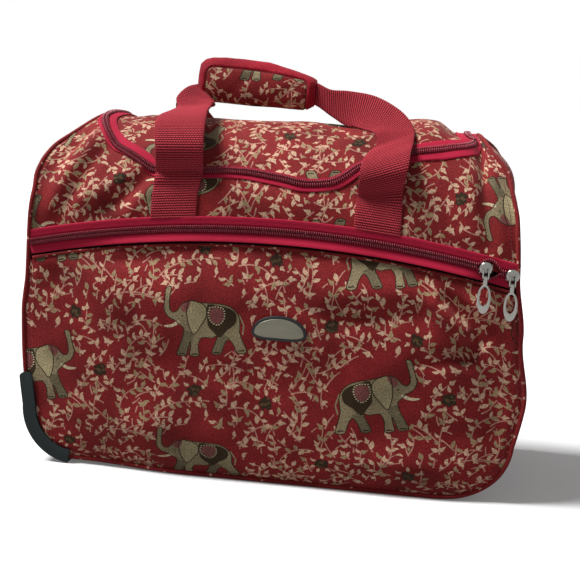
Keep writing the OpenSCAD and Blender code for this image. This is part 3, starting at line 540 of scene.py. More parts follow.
def draw_blossom(place):
    """A dark ragged flower head in a ring of small leaves"""
    rng = np.random.default_rng(int(abs(place[0]) * 7 + abs(place[1])))
    angles = round_angles(BLOSSOM_POINTS)
    radius = rng.uniform(*BLOSSOM_R, BLOSSOM_POINTS)
    head = columns(np.cos(angles) * radius, np.sin(angles) * radius * BLOSSOM_SQUASH)
    parts = [("blossom", head + np.array(place))]
    for turn in rng.uniform(0, ANY_TURN, HEART_COUNT):
        spot = np.array(place) + rng.uniform(*HEART_R) * toward(turn)
        parts.append(("heart", draw_leaf(spot, rng.uniform(0, ANY_TURN), *HEART_SIZE, 1)))
    for a, kind in BLOSSOM_LEAVES:
        spot = np.array(place) + RING_R * toward(a)
        parts.append(("leaf", draw_leaf(spot, a + RING_TURN, *RING_LEAF, kind)))
    return parts


def tile_gap(points, place):
    """Distances in the repeating cloth from one place to others"""
    gap = np.array(points) - place
    return gap - TILE * np.round(gap / TILE)


# Sprigs in the order in which they fill the cloth: pitch of their starts, length
SPRIGS = ((36.0, 50.0), (24.0, 26.0), (15.0, 11.0))
SPRIG_STEP, SPRIG_ROOM = 3.5, 3.0
# Ranges of the random draws for sprigs and their leaves
START_SHARES, HEADINGS, CURLS, LENGTH_SHARES = (0.1, 0.9), (0.3, 2.9), (0.01, 0.045), (0.7, 1.15)
LEAF_TURNS, LEAF_LENGTHS, LEAF_WIDTHS = (0.6, 1.2), (6.2, 9.4), (0.5, 0.68)
LEAF_MIDDLE, TIP_REACH, TIP_SIZE = 0.55, 4.5, (8.0, 4.6)
STEM_HALF_W = (0.8, 0.45)


def draw_tile():
    """All motifs of one repeat: elephants, blossoms and the leafy sprigs between them"""
    rng = np.random.default_rng(7)
    motifs, leaves = [], [np.array([1e6, 1e6])]
    for place, side in ELEPHANTS:
        motifs += draw_elephant(place, side)
    for place in BLOSSOMS:
        motifs += draw_blossom(place)

    def free(spot, room):
        for place, _ in ELEPHANTS:
            if np.linalg.norm(tile_gap([spot], np.array(place))[0] / (ELEPHANT_ROOM + room * 0.4)) < 1:
                return False
        near = np.linalg.norm(tile_gap(BLOSSOMS, spot), axis=1).min() < BLOSSOM_ROOM + room * 0.5
        return not near and np.linalg.norm(tile_gap(leaves, spot), axis=1).min() > room

    def side_leaf(spot, turn, size):
        middle = spot + LEAF_MIDDLE * size * toward(turn)
        if free(middle, LEAF_ROOM):
            leaves.append(middle)
            yarn = rng.choice(["leaf", "leaf", "dull_leaf"])
            width = size * rng.uniform(*LEAF_WIDTHS)
            motifs.append((yarn, draw_leaf(spot, turn, size, width, rng.integers(len(LEAF_SHAPES)))))

    def sprig(start, heading, curl, length):
        line, spot, angle = [np.array(start)], np.array(start, float), heading
        for k in range(int(length / SPRIG_STEP)):
            angle += curl * SPRIG_STEP
            spot = spot + SPRIG_STEP * toward(angle)
            if not free(spot, 0.0):
                break
            line.append(spot)
            if k % 2 == 0:
                for side in (1, -1) if k % 4 == 0 else (1 if k % 8 < 4 else -1,):
                    turn = angle + side * rng.uniform(*LEAF_TURNS)
                    side_leaf(spot, turn, rng.uniform(*LEAF_LENGTHS))
        if len(line) > 2:
            tip = line[-1] + TIP_REACH * toward(angle)
            if free(tip, LEAF_ROOM):
                leaves.append(tip)
                motifs.append(("leaf", draw_leaf(line[-1], angle, *TIP_SIZE, 1)))
            line = np.array(line)
            across = unit(np.gradient(line, axis=0)) @ TURN_LEFT
            half = np.linspace(*STEM_HALF_W, len(line))[:, None]
            motifs.append(("stem", np.concatenate([line - across * half, (line + across * half)[::-1]])))

    for pitch, length in SPRIGS:
        for gx in np.arange(-TILE[0] / 2, TILE[0] / 2, pitch):
            for gy in np.arange(-TILE[1] / 2, TILE[1] / 2, pitch):
                start = np.array([gx, gy]) + rng.uniform(*START_SHARES, 2) * pitch
                heading, curl = rng.uniform(*HEADINGS), rng.choice([-1, 1]) * rng.uniform(*CURLS)
                if free(start, SPRIG_ROOM):
                    sprig(start, heading, curl, length * rng.uniform(*LENGTH_SHARES))
    return motifs


PATTERN_MARGIN, MOTIF_REACH = 25.0, 14.0
tile_motifs = draw_tile()
tile_middles = np.array([loop.mean(axis=0) for _, loop in tile_motifs])


def motifs_over(low, high, origin, turn):
    """The repeating cloth's motifs over a flat box, with a repeat's middle at origin"""
    found = []
    corners = np.array([(low - origin) * turn, (high - origin) * turn])
    first, last = corners.min(axis=0) - MOTIF_REACH, corners.max(axis=0) + MOTIF_REACH
    cells = [np.arange(math.floor(first[k] / TILE[k]) - 1, math.ceil(last[k] / TILE[k]) + 2) for k in (0, 1)]
    for i in cells[0]:
        for j in cells[1]:
            shift = TILE * np.array([i, j])
            spots = tile_middles + shift
            for k in np.flatnonzero(((spots > first) & (spots < last)).all(axis=1)):
                yarn, loop = tile_motifs[k]
                found.append((yarn, (loop + shift) * turn + origin))
    return found


def signed_area(loop):
    ends = np.roll(loop, -1, axis=0)
    return 0.5 * np.sum(loop[:, 0] * ends[:, 1] - ends[:, 0] * loop[:, 1])


def keep_used(faces):
    """Numbers of the points that faces use, and the faces in the numbers of those alone"""
    used = sorted({v for face in faces for v in face})
    number = {v: k for k, v in enumerate(used)}
    return used, [[number[v] for v in face] for face in faces]


def cut_cloth(boundary, motifs, spacing):
    """Flat triangles of a cut piece, split along each motif's edge, and each one's yarn"""
    loops = [("ground", np.array(boundary))] + motifs
    points, faces = [], []
    for _, loop in loops:
        start = len(points)
        ordered = loop if signed_area(loop) > 0 else loop[::-1]
        points += [Vector(p) for p in ordered]
        faces.append(list(range(start, start + len(loop))))
    low, high = loops[0][1].min(axis=0), loops[0][1].max(axis=0)
    for row, gy in enumerate(np.arange(low[1], high[1], spacing * 0.87)):
        for gx in np.arange(low[0] + spacing * (0.25 + 0.5 * (row % 2)), high[0], spacing):
            points.append(Vector((gx, gy)))
    verts, _, tris, _, _, sources = delaunay_2d_cdt(points, [], faces, 0, 1e-4, True)
    ranks = [YARN_ORDER.index(yarn) for yarn, _ in loops]
    kept = [(tri, max(ranks[s] for s in source)) for tri, source in zip(tris, sources) if 0 in source]
    used, tris = keep_used([tri for tri, _ in kept])
    return np.array([verts[v] for v in used]), tris, np.array([rank for _, rank in kept])


# Making pieces

def link_new(name, data):
    thing = bpy.data.objects.new(name, data)
    bpy.context.scene.collection.objects.link(thing)
    return thing


def make_piece(name, points, faces, slot, node=None, material=None, flat=None, yarns=None, normals=None):
    """A smooth piece on the bag in a node's place; flat is its place on the cloth, yarns its colours"""
    mesh = bpy.data.meshes.new(name)
    mesh.from_pydata(((points + np.array([0, MID_Y, 0])) * MM).tolist(), [], faces)
    mesh.shade_smooth()
    if flat is not None:
        rows = np.zeros((len(points), 3), np.float32)
        rows[:, :flat.shape[1]] = flat
        mesh.attributes.new("cloth", "FLOAT_VECTOR", "POINT").data.foreach_set("vector", rows.ravel())
    if yarns is not None:
        corners = np.repeat(YARN_COLOURS[yarns], [len(f) for f in faces], axis=0).astype(np.float32)
        mesh.attributes.new("yarn", "FLOAT_COLOR", "CORNER").data.foreach_set("color", corners.ravel())
    if normals is not None:
        mesh.normals_split_custom_set_from_vertices(normals.tolist())
    mesh.materials.append(materials[material or slot])
    piece = link_new(name, mesh)
    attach(piece, "bag")
    if node:
        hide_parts(node)
    return piece


DRAPE_FROM, DRAPE_SHARE = 66.0, 0.0058
NORMAL_STEP = 0.8


def pocket_drape(loop):
    """Draws the cloth's pattern together where the pocket rolls under at its foot"""
    below = np.maximum(DRAPE_FROM - loop[:, 1], 0)
    drawn = (np.sqrt(1 + 4 * DRAPE_SHARE * below) - 1) / (2 * DRAPE_SHARE)
    return columns(loop[:, 0], np.where(below > 0, DRAPE_FROM - drawn, loop[:, 1]))


def normals_of(place, flat):
    """Directions off the cloth at flat places"""
    sideways, upwards = (place(flat + step, 0.0) - place(flat - step, 0.0)
                         for step in np.array([[NORMAL_STEP, 0], [0, NORMAL_STEP]]))
    return unit(np.cross(sideways, upwards))


def sew_panel(name, node, boundary, place, origin, turn=1, spacing=6.0, extra=(), slot="brocade", hole=None,
              drape=None):
    """A cloth panel in a node's place: its flat cut, and the function that carries flat places to the bag"""
    boundary = np.array(boundary)
    low, high = boundary.min(axis=0), boundary.max(axis=0)
    patterned = slot == "brocade"
    motifs = motifs_over(low - PATTERN_MARGIN, high, np.array(origin, float), turn) if patterned else []
    if drape:
        motifs = [(yarn, drape(loop)) for yarn, loop in motifs]
    flat, faces, yarns = cut_cloth(boundary, motifs + list(extra), spacing)
    if hole is not None:
        inside = hole(place(flat, 0.0))
        keep = [k for k, face in enumerate(faces) if not inside[face].any()]
        used, faces = keep_used([faces[k] for k in keep])
        flat, yarns = flat[used], yarns[keep]
    return make_piece(name, place(flat, 0.0), faces, slot, node, flat=(flat - origin) * turn, yarns=yarns,
                      normals=normals_of(place, flat))


def skin(rings, closed_path=False):
    """Points and faces of a solid through rings of equal count"""
    n, m = rings.shape[:2]
    faces = []
    for i in range(n if closed_path else n - 1):
        a, b = i * m, ((i + 1) % n) * m
        faces += [[a + j, a + (j + 1) % m, b + (j + 1) % m, b + j] for j in range(m)]
    if not closed_path:
        faces += [list(range(m))[::-1], list(range((n - 1) * m, n * m))]
    return rings.reshape(-1, 3), faces


def strip_flat(lengths, widths):
    """Places on a strip's own cloth for the points of its rings"""
    return np.array([(a, b) for a in lengths for b in widths])


# Materials

SHEEN_ROUGHNESS, SHEEN_TINT = 0.45, (1.0, 0.72, 0.68, 1)


def shader_inputs(material):
    return material.node_tree.nodes["Principled BSDF"].inputs


def new_material(name, colour, roughness, metallic=0.0, sheen=0.0, specular=0.5):
    material = bpy.data.materials.new(name)
    material.use_nodes = True
    values = {"Base Color": (*colour, 1), "Roughness": roughness, "Metallic": metallic,
              "Specular IOR Level": specular}
    if sheen:
        values.update({"Sheen Weight": sheen, "Sheen Roughness": SHEEN_ROUGHNESS, "Sheen Tint": SHEEN_TINT})
    for socket, value in values.items():
        shader_inputs(material)[socket].default_value = value
    return material


def add_node(owner, kind, inputs=(), out=0, **settings):
    """An output of a new node; inputs give a value or another node's output by socket"""
    node = owner.node_tree.nodes.new(kind)
    for key, value in settings.items():
        setattr(node, key, value)
    for key, value in dict(inputs).items():
        if isinstance(value, bpy.types.NodeSocket):
            owner.node_tree.links.new(value, node.inputs[key])
        else:
            node.inputs[key].default_value = value
    return node.outputs[out]


def on_cloth(material):
    """Coordinates in millimetres on the piece's own cloth"""
    return add_node(material, "ShaderNodeAttribute", out="Vector", attribute_name="cloth")


def scaled(material, vector, factors):
    return add_node(material, "ShaderNodeVectorMath", {0: vector, 1: factors}, operation="MULTIPLY")


def grain(material, where, size, detail=2.0):
    return add_node(material, "ShaderNodeTexNoise", {"Vector": where, "Scale": 1 / size, "Detail": detail})


def ribs(material, where, pitch, direction, bend=0.0):
    """Even ridges with a given pitch across a direction of the cloth"""
    shape = {"Vector": where, "Scale": math.pi / (10 * pitch), "Distortion": bend, "Detail": 1.0,
             "Detail Scale": 1.5}
    return add_node(material, "ShaderNodeTexWave", shape, "Fac", bands_direction=direction)


def mix_values(material, a, b, share):
    """A mix of two numbers"""
    return add_node(material, "ShaderNodeMix", {"Factor": share, "A": a, "B": b}, data_type="FLOAT")


def map_value(owner, value, low, high, span=(0, 1)):
    """A value carried from a span of it to another range"""
    return add_node(owner, "ShaderNodeMapRange", {"Value": value, "From Min": span[0], "From Max": span[1],
                                                  "To Min": low, "To Max": high})


def shade(material, colour, value, dark, light, span=(0, 1)):
    """A colour darkened and lightened by a value over a span of it"""
    level = map_value(material, value, dark, light, span)
    return add_node(material, "ShaderNodeVectorMath", {0: colour, 3: level}, operation="SCALE")


def finish_material(material, colour=None, height=None, depth=0.0, roughness=None):
    """Links a colour, a bump height and a roughness to the material's shader"""
    links = {"Base Color": colour, "Roughness": roughness}
    if height is not None:
        bump = {"Height": height, "Distance": depth * MM, "Strength": 1.0}
        links["Normal"] = add_node(material, "ShaderNodeBump", bump)
    for socket, source in links.items():
        if source is not None:
            material.node_tree.links.new(source, shader_inputs(material)[socket])
    return material


def shade_more(material, value, dark, light, span):
    """Darkens and lightens a finished material's colour by one more value"""
    tone = shader_inputs(material)["Base Color"].links[0].from_socket
    return finish_material(material, shade(material, tone, value, dark, light, span))


def flat_colour(material, colour):
    return add_node(material, "ShaderNodeCombineXYZ", dict(zip("XYZ", colour)))


GRAIN_SPAN = (0.3, 0.7)
BROAD_GRAIN, BROAD_TONES = 45.0, (0.85, 1.13)


def make_brocade():
    material = new_material("brocade", linear(YARNS["ground"]), 0.66, sheen=0.14, specular=0.07)
    where = on_cloth(material)
    yarn = add_node(material, "ShaderNodeAttribute", out="Color", attribute_name="yarn")
    threads = mix_values(material, ribs(material, where, 0.9, "X"), ribs(material, where, 0.9, "Y"), 0.5)
    twill = mix_values(material, threads, ribs(material, where, 1.3, "DIAGONAL", 0.6), 0.45)
    colour = shade(material, yarn, grain(material, where, 1.7, 4.0), 0.5, 1.42, GRAIN_SPAN)
    colour = shade(material, colour, twill, 0.84, 1.12)
    colour = shade(material, colour, grain(material, where, 55.0, 3.0), 0.64, 1.3, GRAIN_SPAN)
    return finish_material(material, colour, twill, 0.22)


def make_cloth(name, colour, pitch, direction, depth, roughness=0.7, sheen=0.2):
    """A plain ribbed weave on a strip's own cloth"""
    material = new_material(name, colour, roughness, sheen=sheen, specular=0.1)
    where = on_cloth(material)
    ridges, fuzz = ribs(material, where, pitch, direction), grain(material, where, pitch * 0.8)
    weave = mix_values(material, ridges, fuzz, 0.4)
    tone = shade(material, flat_colour(material, colour), weave, 0.72, 1.22)
    tone = shade(material, tone, grain(material, where, BROAD_GRAIN), *BROAD_TONES)
    return finish_material(material, tone, weave, depth)


def make_tape_cloth():
    """Fine ribbed tape, darker in the groove beside the coil"""
    material = make_cloth("zip_tape", linear("#b8203f"), 1.3, "Y", 0.2, 0.75, 0.12)
    across = add_node(material, "ShaderNodeSeparateXYZ", {0: on_cloth(material)}, "Y")
    off = add_node(material, "ShaderNodeMath", {0: across}, operation="ABSOLUTE")
    return shade_more(material, off, 0.42, 1.0, (COIL_HALF_W - 0.4, COIL_HALF_W + 1.8))


def make_webbing():
    """Thick webbing: rows of short raised weft floats, set off by half from row to row, with painted shade in
    the gaps between them and a painted pink highlight on their crests
    """
    colour, highlight_colour = linear("#8c222c"), linear("#6a3037")
    material = new_material("webbing", colour, 0.7, sheen=0.06, specular=0.08)
    where = on_cloth(material)
    parts = add_node(material, "ShaderNodeSeparateXYZ", {0: where}).node.outputs
    turned = add_node(material, "ShaderNodeCombineXYZ", {"X": parts["Y"], "Y": parts["X"]})
    bricks = {"Vector": turned, "Scale": 1.0, "Mortar Size": 0.5, "Mortar Smooth": 1.0,
              "Brick Width": FLOAT_L, "Row Height": RIB_PITCH}
    gaps = add_node(material, "ShaderNodeTexBrick", bricks, "Fac", offset=0.5)
    weft = ribs(material, where, RIB_PITCH, "X")
    floats = add_node(material, "ShaderNodeMath", {0: 1.0, 1: gaps}, operation="SUBTRACT")
    weave = mix_values(material, floats, weft, 0.45)
    # painted shade: the gaps between the floats are darkened almost to black, the floats lightened
    tone = shade(material, flat_colour(material, colour), weave, 0.05, 1.7)
    # painted highlight: a pink tint added on the crests of the floats
    painted_highlight = shade(material, flat_colour(material, highlight_colour), weave, 0.0, 1.0, (0.55, 0.95))
    tone = add_node(material, "ShaderNodeVectorMath", {0: tone, 1: painted_highlight})
    tone = shade(material, tone, grain(material, where, 1.2), 0.82, 1.16, GRAIN_SPAN)
    tone = shade(material, tone, grain(material, where, BROAD_GRAIN), *BROAD_TONES)
    return finish_material(material, tone, weave, 0.4)


def paint_recess_shade(material):
    """Painted shade: darker base colour in the recesses of the small bright metal pieces, from ambient
    occlusion
    """
    recess_shade_ao = add_node(material, "ShaderNodeAmbientOcclusion", {"Distance": 4 * MM}, "AO", samples=6)
    return shade_more(material, recess_shade_ao, 0.15, 1.1, (0.25, 0.95))


def make_solid(name, colour, roughness, size, depth, metallic=0.0, spread=(0.9, 1.1), stretch=(1, 1, 1),
               specular=0.5):
    """A moulded or metal surface with a fine grain and an uneven gloss"""
    material = new_material(name, colour, roughness, metallic, specular=specular)
    in_frame = scaled(material, add_node(material, "ShaderNodeTexCoord", out="Object"), (1 / MM,) * 3)
    where = scaled(material, in_frame, stretch)
    fine = grain(material, where, size, 3.0)
    tone = shade(material, flat_colour(material, colour), grain(material, where, size * 14), *spread)
    gloss = map_value(material, fine, roughness * 0.8, min(roughness * 1.25, 1.0))
    return finish_material(material, tone, fine, depth, gloss)


# Solid materials: colour, roughness, size and depth of the grain, and what differs from a plain moulding
SOLIDS = {
    # the lining is a real wall; its near-black colour partly paints the shade in the slot under the pocket
    # zip
    "lining": ("#140709", 0.85, 0.9, 0.08, {"specular": 0.1}),
    "thread": ("#5a121b", 0.7, 0.6, 0.05, {}),
    "zip_coil": ("#8d2638", 0.36, 0.5, 0.02, {"specular": 0.35}),
    "bright_metal": ("#7d7b76", 0.22, 0.8, 0.015, {"metallic": 1.0}),
    "pewter": ("#656257", 0.42, 0.5, 0.03, {"metallic": 1.0, "spread": (0.75, 1.2), "stretch": (0.2, 1, 1)}),
    "badge_black": ("#121214", 0.45, 0.7, 0.02, {"specular": 0.25}),
    "dark_plastic": ("#151d1e", 0.55, 0.8, 0.06, {"specular": 0.2}),
    "board": ("#2d2824", 0.85, 1.2, 0.08, {}),
    "steel": ("#b9bbbc", 0.28, 0.5, 0.01, {"metallic": 1.0, "stretch": (1, 0.2, 1)}),
    "hub": ("#33383a", 0.45, 0.8, 0.04, {}),
    "tyre": ("#141617", 0.75, 0.7, 0.06, {}),
    "tube": ("#c2c5c6", 0.3, 0.6, 0.01, {"metallic": 1.0, "stretch": (0.1, 1, 1)}),
    "button": ("#4b5154", 0.4, 0.7, 0.03, {}),
}
materials = {name: make_solid(name, linear(code), *plain, **more)
             for name, (code, *plain, more) in SOLIDS.items()}
materials["brocade"] = make_brocade()
materials["base_cloth"] = make_cloth("base_cloth", linear("#6d1a22"), 1.6, "X", 0.15)
materials["zip_tape"] = make_tape_cloth()
materials["webbing"] = make_webbing()
# painted shade in the recesses of the sliders and pulls
paint_recess_shade(materials["bright_metal"])


# Cloth panels

SEAM_GAP = 1.5
ZIP_SEAM = 1.0


def edge_row(runs):
    """Right edge of the wrapped sheet at given runs"""
    return [(float(outline_x(run_height(r)) - CLOTH_EDGE), float(r)) for r in runs]


def mirrored(points):
    return [(-x, r) for x, r in reversed(points)]


def make_panels():
    along = np.linspace(0, LID_LENGTH, 140)
    lid, round_lid = (lid_flat(along, np.full(len(along), gap)) for gap in (-SEAM_GAP, SEAM_GAP))
    zip_xs = np.linspace(-1, 1, 80) * ZIP_END_X
    zip_line = [(x, float(height_run(zip_height(x, ZIP_SEAM)))) for x in zip_xs]
    right = edge_row(np.linspace(zip_line[-1][1], 0, 46))
    yoke = zip_line + right + round_lid[round_lid[:, 1] < 0].tolist() + mirrored(right)
    sew_panel("yoke_cloth", "front_yoke", yoke, wrap_place, (82.6, -204.5), turn=-1)
    sew_panel("lid_cloth", "lid_panel", lid.tolist(), wrap_place, (72.8, -151.5), turn=-1)
    back_edge = edge_row(np.linspace(0, WALL_RUN, 90))
    arm = [(LID_ARM_X + SEAM_GAP, r) for r in np.linspace(LID_BACK_RUN, 0, 20)]
    hinge = [(x, LID_BACK_RUN) for x in np.linspace(-LID_ARM_X, LID_ARM_X, 60)]
    back = mirrored(arm) + hinge + arm + back_edge + mirrored(back_edge)
    sew_panel("back_cloth", "back_panel", back, wrap_place, (60, 300), turn=-1, spacing=7.0)
    heights = np.linspace(CORNER_Z, float(pocket_top(ZIP_HALF_W)) - 1, 30)[1:]
    side = foot_arc(16, CLOTH_EDGE) + side_rise(heights, CLOTH_EDGE)
    top = [(x, float(pocket_top(x))) for x in np.linspace(ZIP_END_X, -ZIP_END_X, 90)]
    bottom = [(x, BASE + CLOTH_EDGE) for x in np.linspace(-CORNER_X, CORNER_X, 60)[1:-1]]
    pocket = bottom + side + top + mirrored(side)
    sew_panel("pocket_cloth", "pocket_panel", pocket, pocket_place, (-63, 168), spacing=5.0,
              drape=pocket_drape)


LINING_GAP, LINING_INSET, LINING_RISE = 2.5, 3.0, TAPE_W * 0.7


def make_lining():
    """The dark wall behind the pocket, drawn in with the slumped outside; it is a real wall, and its
    near-black colour partly paints the shade seen through the slot under the zip
    """
    heights = np.linspace(CORNER_Z, float(zip_height(ZIP_END_X)), 24)[1:]
    side = foot_arc(12, LINING_INSET) + side_rise(heights, LINING_INSET)
    xs = np.linspace(ZIP_END_X - LINING_INSET, LINING_INSET - ZIP_END_X, 60)
    top = [(x, float(zip_height(x, LINING_RISE))) for x in xs]

    def place(flat, lift):
        return soften(columns(flat[:, 0], np.full(len(flat), LINING_GAP - HALF_D), flat[:, 1]))

    sew_panel("pocket_lining", "pocket_back_panel", side + top + mirrored(side), place, (0, 0), spacing=12.0,
              slot="lining")


end_line = np.array(foot_arc(24) + side_rise(np.linspace(CORNER_Z, TOP_CORNER_Z, 50)[1:])
                    + side_rise(np.linspace(TOP_CORNER_Z, CREST - 0.5, 40)[1:]))
end_steps = way_along(end_line)
END_FOLDS = [
    ((-90, 120), (-20, 220), 14, -4.0), ((80, 140), (10, 260), 16, -3.5), ((-60, 300), (60, 310), 14, 4.0),
    ((100, 90), (30, 80), 12, 3.0), ((-100, 270), (-40, 320), 12, -3.0), ((20, 150), (60, 200), 18, 3.0),
]
END_PUFF, END_RIPPLE = 5.0, (19, 0.8)
END_FOOT_QUIET, END_TOP_QUIET = (75, 50), (-end_steps[-1], 40)
CUP_LIP = 4.0
WELL_ROOM, WELL_SIDE_ROOM = 6.4, 5.4
BOTTOM_SINK, BOTTOM_STEP = 1.2, 8.0


def end_place(side):
    """The function that carries places on an end panel to the bag: side is 1 at the right"""
    slope = unit(np.gradient(end_line, axis=0))

    def place(flat, lift):
        across, way = flat[:, 0] * side, flat[:, 1]
        x, z, dx, dz = (np.interp(way, end_steps, row) for row in (*end_line.T, *slope.T))
        inner = domed(np.abs(across) / half_depth(z, 1), 1, 2)
        quiet = inner * ramp(way, *END_FOOT_QUIET) * ramp(-way, *END_TOP_QUIET)
        out = quiet * (END_PUFF + crease(flat, END_FOLDS) + ripple(flat, *END_RIPPLE, side)) + lift
        return soften(columns(side * (x + out * dz), across, z - out * dx))
    return place


def in_cup(p):
    """Which points lie in the mouth of the pull handle's cup"""
    low, high = box_mm("handle_cup")
    low, high = low + CUP_LIP, high - CUP_LIP
    return (p[:, 0] > low[0]) & (np.abs(p[:, 1]) < high[1] - MID_Y) & (p[:, 2] > low[2]) & (p[:, 2] < high[2])


def in_wells(p):
    """Which points lie in the two wheel wells"""
    axle, half = middle_mm("front_wheel_tyre")
    near = np.hypot(p[:, 0] - axle[0], p[:, 2] - axle[2]) < half[2] + WELL_ROOM
    return near & (np.abs(np.abs(p[:, 1]) - abs(axle[1] - MID_Y)) < half[1] + WELL_SIDE_ROOM)


def bottom_place(flat, lift):
    sink = BOTTOM_SINK * (1 - (flat[:, 0] / CORNER_X) ** 2) * (1 - (flat[:, 1] / HALF_D) ** 2)
    return soften(columns(flat[:, 0], -flat[:, 1], BASE - sink - lift))


def make_ends():
    ways = np.linspace(0, end_steps[-1], 90)
    half = half_depth(np.interp(ways, end_steps, end_line[:, 1]), 4)
    up = [(float(h) - CLOTH_EDGE, float(s)) for h, s in zip(half, ways)]
    foot = [(float(y), 0.0) for y in np.linspace(-HALF_D + CLOTH_EDGE, HALF_D - CLOTH_EDGE, 30)[1:-1]]
    end = foot + up + mirrored(up)
    sew_panel("right_end_cloth", "right_end_panel", end, end_place(1), (20, 190), spacing=7.0, hole=in_cup)
    sew_panel("left_end_cloth", "left_end_panel", end, end_place(-1), (-30, 150), spacing=7.0, hole=in_wells)
    rectangle = [(-CORNER_X, -HALF_D), (CORNER_X, -HALF_D), (CORNER_X, HALF_D), (-CORNER_X, HALF_D)]
    rim = even_loop(rectangle, BOTTOM_STEP)
    sew_panel("bottom_cloth", "bottom_panel", rim, bottom_place, (0, 0), spacing=10.0, slot="base_cloth")


# Sides of the piping and the welt, and the width of cloth on each side
PIPING_SIDES, WELT_SIDES = 10, 12
PIPING_SIDE_W, WELT_SIDE_W = 1.5, 1.6
# How often a row of them shows a bit of the pattern, and the seed of those draws
PIPING_BITS, WELT_BITS = (0.14, 3), (0.34, 5)


def edge_path():
    """The sewn edge from the middle of the front bottom over the right end to the middle of the back"""
    flat_part = [(x, BASE) for x in np.linspace(0, CORNER_X, 40)[:-1]]
    rise = side_rise(np.linspace(CORNER_Z, SHOULDER, 50)[1:])
    front = [(x, -HALF_D, z) for x, z in flat_part + foot_arc(20) + rise]
    turns = np.linspace(0, math.pi, 90)[1:-1]
    heights = [SHOULDER + HALF_D * math.sin(a) for a in turns]
    over = [(float(outline_x(z)), -HALF_D * math.cos(a), z) for a, z in zip(turns, heights)]
    return np.array(front + over + [(x, -y, z) for x, y, z in reversed(front)])


def tube_rings(path, radius, sides):
    """Rings round a closed path; the first point of each looks away from the bag's middle"""
    tangent = unit(np.roll(path, -1, axis=0) - np.roll(path, 1, axis=0))
    out = path - np.array([0, 0, (CORNER_Z + SHOULDER) / 2])
    out = unit(out - np.sum(out * tangent, axis=1, keepdims=True) * tangent)
    side = np.cross(tangent, out)
    angles = round_angles(sides)[:, None]
    return path[:, None] + radius * (np.cos(angles) * out[:, None] + np.sin(angles) * side[:, None])


def patchy_yarns(rows, sides, share, seed):
    """Yarns of a narrow cut of the cloth: ground with short bits of leaf and stem"""
    rng = np.random.default_rng(seed)
    yarns = np.zeros((rows, sides), int)
    leaf, stem = YARN_ORDER.index("leaf"), YARN_ORDER.index("stem")
    for row in range(rows):
        if rng.random() < share:
            start, width = rng.integers(sides), rng.integers(1, 4)
            yarns[row, np.arange(start, start + width) % sides] = rng.choice([leaf, stem, stem])
    return yarns.ravel()


def make_edges():
    right = edge_path()
    loop = np.concatenate([right, (right * np.array([-1, 1, 1]))[::-1][1:-1]])
    path = even_loop(loop, PIPING_STEP)
    points, faces = skin(tube_rings(soften(path), PIPING_R, PIPING_SIDES), closed_path=True)
    flat = strip_flat(np.arange(len(path)) * PIPING_STEP, np.arange(PIPING_SIDES) * PIPING_SIDE_W)
    yarns = patchy_yarns(len(path), PIPING_SIDES, *PIPING_BITS)
    make_piece("edge_piping_cloth", points, faces, "piping", "edge_piping", "brocade", flat, yarns)
    along = np.linspace(-ZIP_REACH, ZIP_REACH, 180)
    radius = WELT_R * (1 + 0.06 * np.sin(along / 9.0) + 0.05 * np.sin(along / 3.7 + 1))
    rings = columns(*(zip_place(along, WELT_ACROSS + radius * math.cos(a), WELT_LIFT + radius * math.sin(a))
                      for a in round_angles(WELT_SIDES)))
    points, faces = skin(rings)
    yarns = np.concatenate([patchy_yarns(len(along) - 1, WELT_SIDES, *WELT_BITS), [0, 0]])
    flat = strip_flat(along, np.arange(WELT_SIDES) * WELT_SIDE_W)
    make_piece("pocket_welt_cloth", points, faces, "piping", "pocket_welt", "brocade", flat, yarns)


STITCH_L, STITCH_W, STITCH_H, STITCH_STEP = 3.0, 0.7, 0.6, 4.2
STITCH_SINK, STITCH_INSET = 0.15, 7.0
# Where the rows of stitches end: below the zip's top, before the crest, and below the pocket's top
YOKE_ROW_FROM, YOKE_ROW_TO, POCKET_ROW_GAP = 12, -2.0, 4
# A stitch: shares along, across and off the cloth, and its sides
STITCH = [(-0.5, -0.5, 0), (-0.5, 0.5, 0), (0.5, 0.5, 0), (0.5, -0.5, 0),
          (-0.36, -0.3, 1), (-0.36, 0.3, 1), (0.36, 0.3, 1), (0.36, -0.3, 1)]
STITCH_SIDES = [[0, 1, 5, 4], [1, 2, 6, 5], [2, 3, 7, 6], [3, 0, 4, 7], [4, 5, 6, 7], [3, 2, 1, 0]]


def stitch_row(name, place, flat):
    """A row of short raised stitches along a flat line on the cloth"""
    steps = even_steps(np.concatenate([place(flat, 0.0), normals_of(place, flat)], axis=1), STITCH_STEP)
    spots, away = steps[:, :3], unit(steps[:, 3:])
    along = unit(np.gradient(spots, axis=0))
    across = np.cross(along, away)
    rings = [spots + along * STITCH_L * a + across * STITCH_W * b + away * (STITCH_H * c - STITCH_SINK)
             for a, b, c in STITCH]
    points = columns(*rings).reshape(-1, 3)
    faces = [[len(STITCH) * k + v for v in side] for k in range(len(spots)) for side in STITCH_SIDES]
    make_piece(name, points, faces, "piping", material="thread")


def make_stitches():
    rows = np.linspace(float(height_run(ZIP_TOP - YOKE_ROW_FROM)), YOKE_ROW_TO, 120)
    heights = np.linspace(CORNER_Z, float(pocket_top(ZIP_HALF_W)) - POCKET_ROW_GAP, 80)
    yoke = columns(outline_x(run_height(rows)) - STITCH_INSET, rows)
    pocket = np.array(foot_arc(30, STITCH_INSET)[:-1] + side_rise(heights, STITCH_INSET))
    for side, name in ((1, "right"), (-1, "left")):
        stitch_row(f"yoke_{name}_stitches", wrap_place, yoke * np.array([side, 1]))
        stitch_row(f"pocket_{name}_stitches", pocket_place, pocket * np.array([side, 1]))


# Zips

# A tape's section from its coil to its thick sewn edge: share across, height
TAPE_SECTION = [(0, 0), (0.5, 0), (1, 0), (1, 0.6), (0.92, 1.25), (0.72, 0.8), (0.5, 1), (0, 1)]
SHELF_POWER = 1.6


